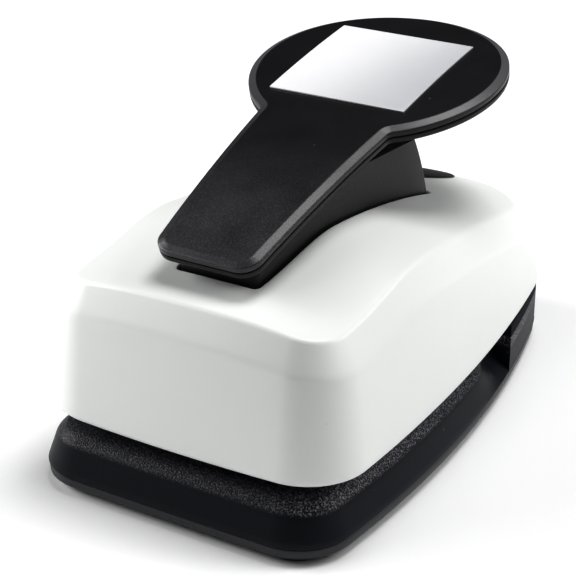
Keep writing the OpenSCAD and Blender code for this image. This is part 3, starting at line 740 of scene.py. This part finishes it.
def wall_rows(loop, t):
    """The housing's side as rows of [inset, z] per outline point; t is the skin taken off."""
    w = toward_rear(loop[:, 1])
    band_in, band_h = mix(5.8, 7.1, w), mix(7.2, 6.9, w)
    up_x, up_y = (loop[:, :2] - loop[:, 2:] * band_in[:, None]).T
    z_up = top_z(up_x, up_y)
    rim = np.column_stack([np.full_like(w, t), np.full_like(w, throat_top_z)])
    low = np.column_stack([np.full_like(w, 2.3 + t), z_up - band_h - t * 0.3])
    up = np.column_stack([band_in + t * 0.8, z_up - t])
    over_in = up[:, 0] + 0.9
    over_xy = loop[:, :2] - loop[:, 2:] * over_in[:, None]
    over = np.column_stack([over_in, top_z(*over_xy.T) - t])
    rows = []
    if t == 0:
        rows += bend(rim + (1.2, 0), rim + (0.1, 0.05), mix(rim, low, 0.05) + (-0.1, 0), 6)
    else:
        rows.append(rim)
    for q in np.linspace(0.12, 0.7, 9):
        belly = -0.3 * math.sin(math.pi * min(q, 0.8) / 0.95) if t == 0 else 0.0
        rows.append(mix(rim, low, q) + (belly * 0.9, 0))
    rows += bend(mix(low, rim, 0.04), low, mix(low, up, 0.18), 9)
    rows += bend(mix(up, low, 0.12), up, over, 9)
    return rows


def slot_loop(grow=0.55):
    """The lever's slot with the same number of points as the housing's outline."""
    y0 = skirt_front_y - 0.7
    skin_z = float(top_z(0.0, pivot_y + skirt_r - 2)) - wall
    y1 = pivot_y + math.sqrt((skirt_r + 0.5) ** 2 - (skin_z - pivot_z) ** 2) + 0.3
    r = 1.6
    w0, w1 = skirt_half(y0) + grow, skirt_half(y1) + grow
    c0, c1 = (w0 - r, y0 + r), (w1 - r, y1 - r)

    def straight(a, b, n):
        t = np.arange(n)[:, None] / n
        return mix(np.array(a, float), np.array(b, float), t)

    half = np.concatenate([
        straight((0, y0), (c0[0], y0), RUN[0]),
        arc_run(c0, r, -math.pi / 2, 0, RUN[1])[:, :2],
        straight((w0, c0[1]), (w1, c1[1]), RUN[2]),
        arc_run(c1, r, 0, math.pi / 2, RUN[3])[:, :2],
        straight((c1[0], y1), (0, y1), RUN[4]),
        [[0, y1]]])
    return np.concatenate([half, half[-2:0:-1] * np.array([-1, 1])])


def oval_on_top(name, rings, grow, material):
    """An oval solid on the crowned top, through rings of [share of its size, height above the top]."""
    low, high = box_mm("rest_pad")
    mid_y = (low.y + high.y) / 2
    half_w, half_l = (high.x - low.x) / 2 + grow, (high.y - low.y) / 2 + grow
    turn = np.linspace(0, 2 * math.pi, 96, endpoint=False)
    loops = []
    for share, height in rings:
        x, y = half_w * share * np.cos(turn), mid_y + half_l * share * np.sin(turn)
        loops.append(np.column_stack([x, y, top_z(x, y) + height]))
    return capped(name, loops, material, 35)


def make_rest_pad():
    """The black pad let into the top, with a rounded rim."""
    rings = [(share, -0.75) for share in (0.02, 0.3, 0.6, 0.85, 0.98)]
    rings += [(0.995, -0.7), (1.0, -0.6), (1.0, 0.05)]
    rings += [(0.998, 0.15), (0.99, 0.26), (0.975, 0.34), (0.95, 0.38)]
    rings += [(share, 0.39) for share in (0.88, 0.75, 0.6, 0.45, 0.3, 0.15, 0.02)]
    add(oval_on_top("pad", rings, -0.03, HEAD_BLACK), "base", "base_black", "rest_pad")


def make_housing():
    outer = [at_inset(house_loop, r[:, 0], r[:, 1]) for r in wall_rows(house_loop, 0)]
    inner = [at_inset(house_loop, r[:, 0], r[:, 1]) for r in wall_rows(house_loop, wall)]
    slot = slot_loop()
    away = outer[-1][:, :2] - slot
    away /= np.linalg.norm(away, axis=1)[:, None]

    def lid(edge, lip, t, drop):
        xy = mix(edge[:, :2], slot + away * lip, t)
        return np.column_stack([xy, top_z(*xy.T) - drop])

    steps = np.linspace(0, 1, 26)[1:]
    outer += [lid(outer[-1], 0.5, t, 0) for t in steps]
    lips = [(0.26, 0.04), (0.1, 0.16), (0.01, 0.4)]
    outer += [lid(outer[-1], lip, 1, drop) for lip, drop in lips]
    top_inner = [lid(inner[-1], 0.0, t, wall) for t in steps[::3]] + [lid(inner[-1], 0.0, 1, wall)]
    rings = outer + top_inner[::-1] + inner[::-1]
    shell = piece("housing_shell", np.concatenate(rings), ring_quads(len(rings), len(house_loop), True),
                  HOUSING_WHITE, 50)
    depths = [(share, -0.8) for share in (0.02, 0.3, 0.6, 0.85, 1.0)] + [(1.0, 3.0), (0.5, 3.0), (0.02, 3.0)]
    combine(shell, oval_on_top("pad_recess", depths, 0.05, HOUSING_WHITE), "DIFFERENCE", 50)
    add(shell, "base", "housing_white", "housing")


make_base()
make_bottom_cover()
make_feet()
make_housing()


# ---------------------------------------------------------------- lever
lever_slope = math.radians(20.1)
lever_arch_r = 415.0
arch_y, arch_z = pivot_y - 2.7, pivot_z + 27
lever_front_s, paddle_s = -5.0, 73.3
neck_half_w, paddle_r = 10.9, 29.4
neck_angle = math.radians(4.6)
neck_corner_r, neck_fillet_r = 3.0, 4.0
edge_grow, cover_t, lever_t = 1.9, 2.1, 4.1
arch_centre_y = arch_y + lever_arch_r * math.sin(lever_slope)
arch_centre_z = arch_z - lever_arch_r * math.cos(lever_slope)


def arch(s, n):
    """Place on the lever's arched top at arc length s and height n above it, as y, z."""
    a = lever_slope - np.asarray(s, float) / lever_arch_r
    r = lever_arch_r + n
    return arch_centre_y - r * np.sin(a), arch_centre_z + r * np.cos(a)


def arch_points(stations, n):
    return [tuple(float(v) for v in arch(s, n)) for s in stations]


def lever_loop(grow):
    """The lever's outline as [x, s], from its front right corner round the paddle and back."""
    along = np.array([math.sin(neck_angle), math.cos(neck_angle)])
    out = np.array([math.cos(neck_angle), -math.sin(neck_angle)])
    corner = np.array([neck_half_w, lever_front_s])
    centre = np.array([0.0, paddle_s])
    q = out @ (centre - corner)
    far = math.sqrt((paddle_r + neck_fillet_r) ** 2 - (neck_fillet_r - q) ** 2)
    hollow = centre + (neck_fillet_r - q) * out - far * along
    tip = np.array([corner[0] + (-neck_corner_r - neck_corner_r * out[1]) / out[0],
                    corner[1] + neck_corner_r])
    start = tip + (neck_corner_r + grow) * out
    end = hollow - (neck_fillet_r - grow) * out
    steps = np.arange(44)[:, None] / 44
    half = np.concatenate([
        arc_run(tip, neck_corner_r + grow, -math.pi / 2, heading(out), 14)[:, :2],
        mix(start, end, steps),
        arc_run(hollow, neck_fillet_r - grow, heading(-out), heading(centre - hollow), 16)[:, :2],
        arc_run(centre, paddle_r + grow, heading(hollow - centre), math.pi / 2, 96)[:, :2],
        [centre + (0, paddle_r + grow)]])
    return np.concatenate([half, half[-2::-1] * np.array([-1, 1])])


def lever_layer(name, rings, material):
    """A closed layer of the lever through rings given as [growth, height above the arch]."""
    loops = [lever_loop(grow) for grow, _ in rings]
    n = len(loops[0])
    half = (n - 1) // 2
    points = []
    for loop, (_, height) in zip(loops, rings):
        y, z = arch(loop[:, 1], height)
        points.append(np.column_stack([loop[:, 0], y, z]))
    faces = ring_quads(len(rings), n, False)
    for start in (0, (len(rings) - 1) * n):
        faces += [(start + i, start + n - 1 - i, start + n - 2 - i, start + i + 1) for i in range(half - 1)]
        faces.append((start + half - 1, start + half + 1, start + half))
    return piece(name, np.concatenate(points), faces, material, 50)


def chamfer(grow):
    return grow, -0.75 * grow / edge_grow


def arch_height(mesh):
    """Height above the arched top for every vertex of a mesh, in millimetres."""
    co = np.empty(len(mesh.vertices) * 3)
    mesh.vertices.foreach_get("co", co)
    y, z = co.reshape(-1, 3)[:, 1:].T / MM
    return np.hypot(arch_centre_y - y, z - arch_centre_z) - lever_arch_r


def make_lever_cover():
    rings = [(1.5, -cover_t), (1.78, -2.06), (edge_grow, -1.92), (edge_grow, -1.0), (1.88, -0.84),
             (1.8, -0.735), chamfer(1.66), chamfer(1.45), chamfer(0.5), chamfer(0.3), (0.1, -0.045),
             (-0.08, -0.008), (-0.26, 0.0), (-0.5, 0.0)]
    cover = lever_layer("lever_top", rings, LEVER_BLACK)
    heights = arch_height(cover.data)
    # The bevel faces, marked for the painted highlight in the lever's material.
    rim = cover.data.attributes.new("bevel", "FLOAT", "POINT")
    rim.data.foreach_set("value", ((heights < -0.02) & (heights > -0.8)).astype(np.float32))
    add(cover, "lever", "lever_black", "lever_cover")


def skirt_loft(t, corner_r, low, high):
    """The skirt between its tapering walls, thinner all round by t; round about the pivot behind."""
    rings = []
    for z in np.linspace(low, high, 30):
        y0 = skirt_front_y + t
        y1 = pivot_y + math.sqrt((skirt_r - t) ** 2 - (z - pivot_z) ** 2)
        rear_r = corner_r * 0.45
        c0 = (skirt_half(y0) - t - corner_r, y0 + corner_r)
        c1 = (skirt_half(y1) - t - rear_r, y1 - rear_r)
        side = mix(np.array([c0[0] + corner_r, c0[1]]), np.array([c1[0] + rear_r, c1[1]]),
                   np.linspace(0.1, 0.9, 9)[:, None])
        half = np.concatenate([
            arc_run(c0, corner_r, -math.pi / 2, 0, 9)[:, :2], [[c0[0] + corner_r, c0[1]]], side,
            arc_run(c1, rear_r, 0, math.pi / 2, 6)[:, :2], [[c1[0], y1]]])
        loop = np.concatenate([half, half[::-1] * np.array([-1, 1])])
        rings.append(np.column_stack([loop, np.full(len(loop), z)]))
    return capped("skirt", rings, UNDER_BLACK, 50)


def side_prism(name, side_view, x0, x1, material):
    """A solid with the given side view as [y, z], between x0 and x1."""
    n = len(side_view)
    points = [(x, y, z) for x in (x0, x1) for y, z in side_view]
    faces = [tuple(range(n)), tuple(range(2 * n - 1, n - 1, -1))]
    faces += [(i, n + i, n + (i + 1) % n, (i + 1) % n) for i in range(n)]
    return piece(name, points, faces, material)


def skirt_side(t, under):
    """Side view of the skirt as [y, z], thinner by t, up to a height under the arched top."""
    r = skirt_r + 3 - t
    low_z, high_z = pivot_z + 11, pivot_z + 34
    rear = [(pivot_y + math.sqrt(r * r - (z - pivot_z) ** 2), z) for z in np.linspace(low_z, high_z, 12)]
    top = arch_points(np.linspace(62, 0, 40), under)
    front = skirt_front_y - 2 + t * 2
    return rear + top + [(front, top[-1][1]), (front, pivot_z + 8.5), (pivot_y + 6, pivot_z + 2.5)]


def x_rod(y, z, r, half_l):
    return turned("rod", rod_profile(r, -half_l, half_l), (0, y, z), "X", UNDER_BLACK, 48)


def make_lever_body():
    rings = [tuple(v) for v in bend(np.array([0.2, -lever_t]), np.array([edge_grow, -lever_t]),
                                    np.array([edge_grow, -2.85]), 11)]
    rings = [(0.0, -lever_t)] + rings + [(edge_grow, -2.48), (1.85, -2.37), (1.72, -2.33), (1.55, -2.32),
                                        (1.55, -cover_t - 0.01)]
    body = lever_layer("lever_underside", rings, UNDER_BLACK)
    roller_y, roller_z = pivot_y + 27.3, pivot_z + 5.6
    wide = 30    # half width of the cutters, past the skirt's sides
    outside = side_prism("outside", skirt_side(0, -3.2), -wide, wide, UNDER_BLACK)
    combine(outside, x_rod(pivot_y, pivot_z, 5, wide), "UNION")
    combine(outside, x_rod(roller_y, roller_z, 4, wide), "UNION")
    shoulder = block("shoulder", (-wide, pivot_y - 4, pivot_z), (wide, pivot_y + 5, pivot_z + 12),
                     UNDER_BLACK)
    combine(outside, shoulder, "UNION")
    skirt = skirt_loft(0, 1.5, pivot_z - 8, pivot_z + 33)
    combine(skirt, outside, "INTERSECT")
    combine(body, skirt, "UNION")
    inside = side_prism("inside", skirt_side(2, -lever_t - 0.6), -wide, wide, UNDER_BLACK)
    room = block("room", (-wide, pivot_y - 12, pivot_z - 8.5), (wide, pivot_y + 60, pivot_z + 11.5),
                 UNDER_BLACK)
    combine(inside, room, "UNION")
    hollow = skirt_loft(2, 0.6, pivot_z - 9, pivot_z + 29)
    combine(hollow, inside, "INTERSECT")
    combine(body, hollow, "DIFFERENCE")
    combine(body, x_rod(pivot_y, pivot_z, 2.55, 40), "DIFFERENCE")
    combine(body, x_rod(roller_y, roller_z, 1.52, 40), "DIFFERENCE", 38)
    add(body, "lever", "lever_black", "lever_body")


def make_label():
    """The square label: a thin plate that follows the arched top."""
    low, high = box_mm("label_plate")
    s_mid, side = paddle_s - 0.5, high.x - low.x
    stations = np.linspace(s_mid - side / 2, s_mid + side / 2, 40)
    side_view = arch_points(stations, 0.4) + arch_points(stations[::-1], 0.01)
    label = side_prism("label", side_view, low.x, high.x, LABEL_FILM)
    eased(label, 0.1, 2, 50)
    add(label, "lever", "label_film", "label_plate")


# ---------------------------------------------------------------- works inside
def make_works():
    """The plates, the punch, the bracket and the clips, from their CAD nodes with eased edges."""
    for node, name, body, slot_name, material, width, segments in (
            ("guide_plate", "guide_plate_body", "base", "guide_zinc", GUIDE_ZINC, 0.3, 2),
            ("die_plate", "die_plate_body", "base", "die_steel", DIE_STEEL, 0.15, 2),
            ("punch_block", "punch_block_body", "punch", "die_steel", DIE_STEEL, 0.2, 2),
            ("pivot_bracket", "bracket", "base", "bracket_steel", BRACKET_STEEL, 0.35, 2),
            ("punch_head", "head", "punch", "head_black", HEAD_BLACK, 0.6, 3),
            ("axle_clip_l", "axle_clip_l_ring", "base", "bracket_steel", BRACKET_STEEL, 0.15, 2),
            ("axle_clip_r", "axle_clip_r_ring", "base", "bracket_steel", BRACKET_STEEL, 0.15, 2)):
        add(eased_copy(node, name, material, width, segments), body, slot_name, node)


def round_profile(r, low, high, ease):
    """Profile of a solid rod with rounded ends."""
    return [(0.0, low), (r - ease, low), (r - ease * 0.3, low + ease * 0.3), (r, low + ease),
            (r, high - ease), (r - ease * 0.3, high - ease * 0.3), (r - ease, high), (0.0, high)]


def rod_on_x(node):
    """Radius, half length and place of a node that is round about a line along X."""
    lo, hi = box_mm(node)
    return (hi.z - lo.z) / 2, hi.x, (0, (lo.y + hi.y) / 2, (lo.z + hi.z) / 2)


def make_turned_parts():
    """The axle, the roller with its pin, and the guide posts."""
    r, half, place = rod_on_x("pivot_axle")
    groove = half - 1.95
    profile = [(0.0, -half), (r - 0.4, -half), (r, -half + 0.4), (r, -groove - 0.02), (r, groove + 0.02),
               (r, half - 0.4), (r - 0.4, half), (0.0, half)]
    axle = turned("axle", profile, place, "X", PIN_STEEL, 48)
    add(axle, "base", "pin_steel", "pivot_axle")
    r, half, place = rod_on_x("roller_pin")
    pin = turned("roller_axle", round_profile(r, -half, half, 0.25), place, "X", PIN_STEEL, 40)
    add(pin, "lever", "pin_steel", "roller_pin")
    r, half, place = rod_on_x("roller")
    # one side as [radius, distance in from the end], then the same mirrored
    end = [(1.55, 0.2), (1.8, 0.0), (r - 1.8, 0.0), (r - 1.6, 0.35), (r - 0.9, 0.35), (r - 0.5, 0.1),
           (r, 0.6)]
    profile = [(radius, inward - half) for radius, inward in end]
    profile += [(radius, half - inward) for radius, inward in reversed(end)]
    roller = turned("roller_wheel", profile, place, "X", ROLLER_NYLON, 72, 35)
    add(roller, "roller", "roller_nylon", "roller")
    for node in ("guide_post_l", "guide_post_r"):
        lo, hi = box_mm(node)
        collar, r = (hi.x - lo.x) / 2, (hi.x - lo.x) / 2 - 1
        low, high = lo.z, hi.z
        seat = low + 4
        profile = [(0.0, low), (r, low), (r, seat), (collar - 0.15, seat), (collar, seat + 0.15),
                   (collar, seat + 0.8), (collar - 0.2, seat + 1), (r, seat + 1), (r, high - 0.8),
                   (r - 0.8, high), (0.0, high)]
        post = turned(node + "_pin", profile, ((lo.x + hi.x) / 2, (lo.y + hi.y) / 2, 0), "Z", PIN_STEEL, 48)
        add(post, "base", "pin_steel", node)


# ---------------------------------------------------------------- geometry-node parts
class Nodes(Shader):
    """The same short calls for a geometry tree with named inputs."""

    def __init__(self, name, inputs):
        tree = bpy.data.node_groups.new(name, "GeometryNodeTree")
        super().__init__(tree)
        tree.interface.new_socket("Geometry", in_out="INPUT", socket_type="NodeSocketGeometry")
        self.ids = {}
        for label, (kind, value) in inputs.items():
            socket = tree.interface.new_socket(label, in_out="INPUT", socket_type=kind)
            if value is not None:
                socket.default_value = value
            self.ids[label] = socket.identifier
        tree.interface.new_socket("Geometry", in_out="OUTPUT", socket_type="NodeSocketGeometry")
        self.source = self.new("NodeGroupInput")
        self.sink = self.new("NodeGroupOutput")

    def finish(self, geometry):
        """Real copies with their material, at the end of the tree."""
        real = self.new("GeometryNodeRealizeInstances")
        painted = self.new("GeometryNodeSetMaterial")
        self.join(geometry, real.inputs["Geometry"])
        self.join(real.outputs["Geometry"], painted.inputs["Geometry"])
        self.join(self.source.outputs["Material"], painted.inputs["Material"])
        self.join(painted.outputs["Geometry"], self.sink.inputs["Geometry"])


def run_nodes(name, places, nodes, values, sharp=40):
    """Runs the tree on a set of points and keeps the result as a plain mesh."""
    mesh = bpy.data.meshes.new(name)
    mesh.from_pydata([tuple(c * MM for c in p) for p in places], [], [])
    obj = in_scene(name, mesh)
    modifier = obj.modifiers.new("shape", "NODES")
    for label, value in values.items():
        modifier[nodes.ids[label]] = value
    modifier.node_group = nodes.tree
    bake_modifiers(obj, sharp)
    return obj


def spring_tree():
    """A compression spring with closed ends on each point."""
    nodes = Nodes("spring", {
        "Radius": ("NodeSocketFloat", 0.0028), "Wire": ("NodeSocketFloat", 0.0004),
        "Height": ("NodeSocketFloat", 0.010), "Turns": ("NodeSocketFloat", 6.0),
        "Material": ("NodeSocketMaterial", None)})
    source = nodes.source.outputs
    spiral = nodes.new("GeometryNodeCurveSpiral")
    spiral.inputs["Resolution"].default_value = 40
    spiral.inputs["Height"].default_value = 1.0
    nodes.join(source["Turns"], spiral.inputs["Rotations"])
    for end in ("Start Radius", "End Radius"):
        nodes.join(source["Radius"], spiral.inputs[end])
    place = nodes.split(nodes.new("GeometryNodeInputPosition").outputs[0])
    t = place["Z"]
    wave = nodes.math("SINE", nodes.math("MULTIPLY", t, 2 * math.pi), 0.0)
    eased_t = nodes.math("SUBTRACT", t, nodes.math("MULTIPLY", wave, 0.62 / (2 * math.pi)))
    free = nodes.math("SUBTRACT", source["Height"], nodes.math("MULTIPLY", source["Wire"], 2.0))
    z = nodes.math("ADD", source["Wire"], nodes.math("MULTIPLY", eased_t, free))
    moved = nodes.new("GeometryNodeSetPosition")
    nodes.join(spiral.outputs["Curve"], moved.inputs["Geometry"])
    nodes.join(nodes.vector(place["X"], place["Y"], z), moved.inputs["Position"])
    ring = nodes.new("GeometryNodeCurvePrimitiveCircle")
    ring.inputs["Resolution"].default_value = 10
    nodes.join(source["Wire"], ring.inputs["Radius"])
    swept = nodes.new("GeometryNodeCurveToMesh")
    swept.inputs["Fill Caps"].default_value = True
    nodes.join(moved.outputs["Geometry"], swept.inputs["Curve"])
    nodes.join(ring.outputs["Curve"], swept.inputs["Profile Curve"])
    copies = nodes.new("GeometryNodeInstanceOnPoints")
    nodes.join(source["Geometry"], copies.inputs["Points"])
    nodes.join(swept.outputs["Mesh"], copies.inputs["Instance"])
    nodes.finish(copies.outputs["Instances"])
    return nodes


def make_springs():
    names = ["spring_" + corner for corner in CORNERS]
    boxes = [box_mm(name) for name in names]
    lo, hi = boxes[0]
    places = [((a.x + b.x) / 2, (a.y + b.y) / 2, a.z + 0.02) for a, b in boxes]
    wire = 0.38
    height = hi.z - lo.z - 0.04
    springs = run_nodes("return_springs", places, spring_tree(), {
        "Radius": ((hi.x - lo.x) / 2 - wire - 0.05) * MM, "Wire": wire * MM, "Height": height * MM,
        "Turns": 4.75, "Material": SPRING_STEEL})
    add(springs, "base", "spring_steel", *names)
    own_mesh(springs)


def screw_tree():
    """A pan-head screw with a cross recess on each point; Turn sets which way it is driven."""
    nodes = Nodes("screw", {
        "Head Radius": ("NodeSocketFloat", 0.0027), "Head Height": ("NodeSocketFloat", 0.0013),
        "Shank Radius": ("NodeSocketFloat", 0.0012), "Shank Length": ("NodeSocketFloat", 0.008),
        "Turn": ("NodeSocketFloat", 0.0), "Material": ("NodeSocketMaterial", None)})
    source = nodes.source.outputs
    head_r, head_h = source["Head Radius"], source["Head Height"]
    shank_r, shank_l = source["Shank Radius"], source["Shank Length"]
    # rings from the point up to the head, as [radius, height] below the head's top
    rings = [(nodes.math("MULTIPLY", shank_r, 0.25), nodes.math("ADD", head_h, shank_l)),
             (shank_r, nodes.math("ADD", head_h, nodes.math("MULTIPLY", shank_l, 0.8))),
             (shank_r, head_h)]
    for share, depth in ((0.94, 1.0), (1.0, 0.93), (1.0, 0.6), (0.95, 0.33), (0.84, 0.13), (0.66, 0.02),
                         (0.5, 0.0)):
        rings.append((nodes.math("MULTIPLY", head_r, share), nodes.math("MULTIPLY", head_h, depth)))
    start_r, start_depth = rings[0]
    circle = nodes.new("GeometryNodeMeshCircle", fill_type="NGON")
    circle.inputs["Vertices"].default_value = 28
    nodes.join(start_r, circle.inputs["Radius"])
    lowered = nodes.new("GeometryNodeTransform")
    nodes.join(circle.outputs["Mesh"], lowered.inputs["Geometry"])
    below = nodes.vector(0.0, 0.0, nodes.math("MULTIPLY", start_depth, -1.0))
    nodes.join(below, lowered.inputs["Translation"])
    point_cap = nodes.new("GeometryNodeFlipFaces")
    nodes.join(lowered.outputs["Geometry"], point_cap.inputs["Mesh"])
    body = lowered.outputs["Geometry"]
    for (r0, d0), (r1, d1) in zip(rings, rings[1:]):
        raised = nodes.new("GeometryNodeExtrudeMesh", mode="FACES")
        raised.inputs["Individual"].default_value = False
        nodes.join(body, raised.inputs["Mesh"])
        normal = nodes.split(nodes.new("GeometryNodeInputNormal").outputs["Normal"])
        nodes.join(nodes.math("GREATER_THAN", normal["Z"], 0.999), raised.inputs["Selection"])
        nodes.join(nodes.vector(0.0, 0.0, 1.0), raised.inputs["Offset"])
        nodes.join(nodes.math("SUBTRACT", d0, d1), raised.inputs["Offset Scale"])
        sized = nodes.new("GeometryNodeScaleElements", domain="FACE")
        nodes.join(raised.outputs["Mesh"], sized.inputs["Geometry"])
        nodes.join(raised.outputs["Top"], sized.inputs["Selection"])
        nodes.join(nodes.math("DIVIDE", r1, r0), sized.inputs["Scale"])
        body = sized.outputs["Geometry"]
    joined = nodes.new("GeometryNodeJoinGeometry")
    nodes.join(point_cap.outputs["Mesh"], joined.inputs["Geometry"])
    nodes.join(body, joined.inputs["Geometry"])
    welded = nodes.new("GeometryNodeMergeByDistance")
    welded.inputs["Distance"].default_value = 1e-6
    nodes.join(joined.outputs["Geometry"], welded.inputs["Geometry"])
    recess = nodes.new("GeometryNodeMeshBoolean", operation="DIFFERENCE", solver="EXACT")
    nodes.join(welded.outputs["Geometry"], recess.inputs["Mesh 1"])
    long_side, short_side = nodes.math("MULTIPLY", head_r, 1.15), nodes.math("MULTIPLY", head_r, 0.24)
    deep = nodes.math("MULTIPLY", head_h, 1.3)
    for x, y in ((long_side, short_side), (short_side, long_side)):
        bar = nodes.new("GeometryNodeMeshCube")
        nodes.join(nodes.vector(x, y, deep), bar.inputs["Size"])
        nodes.join(bar.outputs["Mesh"], recess.inputs["Mesh 2"])
    copies = nodes.new("GeometryNodeInstanceOnPoints")
    nodes.join(source["Geometry"], copies.inputs["Points"])
    nodes.join(recess.outputs["Mesh"], copies.inputs["Instance"])
    turned_over = nodes.vector(source["Turn"], 0.0, 0.4)
    nodes.join(turned_over, copies.inputs["Rotation"])
    nodes.finish(copies.outputs["Instances"])
    return nodes


def make_screws():
    """Each kind of screw, sized and placed from its CAD nodes."""
    nodes = screw_tree()
    kinds = (
        ("die_screws", ["die_screw_" + c for c in CORNERS], False, 1.15, "base"),
        ("cover_screws", ["cover_screw_" + c for c in CORNERS], True, 1.1, "base"),
        ("housing_screws_front", ["housing_screw_fl", "housing_screw_fr"], True, 1.3, "base"),
        ("housing_screws_rear", ["housing_screw_rl", "housing_screw_rr"], True, 2.0, "base"),
        ("plate_screws", ["plate_screw_l", "plate_screw_r"], False, 1.6, "base"),
        ("bracket_screws", ["bracket_screw_l", "bracket_screw_r"], False, 1.4, "base"),
        ("head_screws", ["head_screw_l", "head_screw_r"], False, 1.3, "punch"))
    for name, names, turned_over, head_h, body in kinds:
        boxes = [box_mm(node) for node in names]
        lo, hi = boxes[0]
        places = [((a.x + b.x) / 2, (a.y + b.y) / 2, a.z if turned_over else b.z) for a, b in boxes]
        screws = run_nodes(name, places, nodes, {
            "Head Radius": (hi.x - lo.x) / 2 * MM, "Head Height": head_h * MM, "Shank Radius": 1.2 * MM,
            "Shank Length": (hi.z - lo.z - head_h) * MM, "Turn": math.pi if turned_over else 0.0,
            "Material": SCREW_STEEL}, 35)
        add(screws, body, "screw_steel", *names)


make_rest_pad()
make_lever_cover()
make_lever_body()
make_label()
make_works()
make_turned_parts()
make_springs()
make_screws()

# ---------------------------------------------------------------- floor and light
def make_floor():
    floor_w = 6000.0
    points = [(-floor_w, -floor_w, 0), (floor_w, -floor_w, 0), (floor_w, floor_w, 0), (-floor_w, floor_w, 0)]
    material, s, shader = start_material("floor", Roughness=0.9, Specular_IOR_Level=0.1)
    shader.inputs["Base Color"].default_value = (0.93, 0.93, 0.93, 1.0)
    mesh = bpy.data.meshes.new("floor")
    mesh.from_pydata([tuple(c * MM for c in p) for p in points], [], [(0, 1, 2, 3)])
    mesh.materials.append(material)
    in_scene("floor", mesh)


def softbox(name, place, width, height, watts, colour=(1, 1, 1)):
    """A large area light aimed at the object."""
    data = bpy.data.lights.new(name, "AREA")
    data.shape = "RECTANGLE"
    data.size, data.size_y = width, height
    data.energy = watts
    data.color = colour
    light = in_scene(name, data)
    light.location = place
    light.rotation_euler = (Vector((0, 0, 0.03)) - Vector(place)).to_track_quat("-Z", "Y").to_euler()


def make_world():
    world = bpy.data.worlds.new("studio")
    bpy.context.scene.world = world
    world.use_nodes = True
    s = Shader(world.node_tree)
    back = world.node_tree.nodes["Background"]
    back.inputs["Color"].default_value = (1, 1, 1, 1)
    back.inputs["Strength"].default_value = 0.01
    seen = s.set(s.new("ShaderNodeBackground"), Color=(1, 1, 1, 1), Strength=1.0)
    path = s.new("ShaderNodeLightPath")
    chosen = s.new("ShaderNodeMixShader")
    out = world.node_tree.nodes["World Output"]
    s.join(path.outputs["Is Camera Ray"], chosen.inputs["Fac"])
    s.join(back.outputs[0], chosen.inputs[1])
    s.join(seen.outputs[0], chosen.inputs[2])
    s.join(chosen.outputs[0], out.inputs["Surface"])


make_floor()
softbox("left", (-0.95, -0.25, 0.45), 0.5, 0.5, 9.0)
softbox("left_front", (-0.62, -0.62, 0.57), 0.5, 0.5, 2.7)
softbox("overhead_rear", (0.12, 0.22, 0.95), 0.4, 0.5, 6.2)
softbox("right_rear", (0.64, 0.5, 0.6), 0.5, 0.5, 4.2)
softbox("right", (0.95, 0.12, 0.5), 0.5, 0.5, 2.0)
make_world()
bpy.context.scene.view_settings.view_transform = "Standard"
bpy.context.scene.view_settings.gamma = 0.73
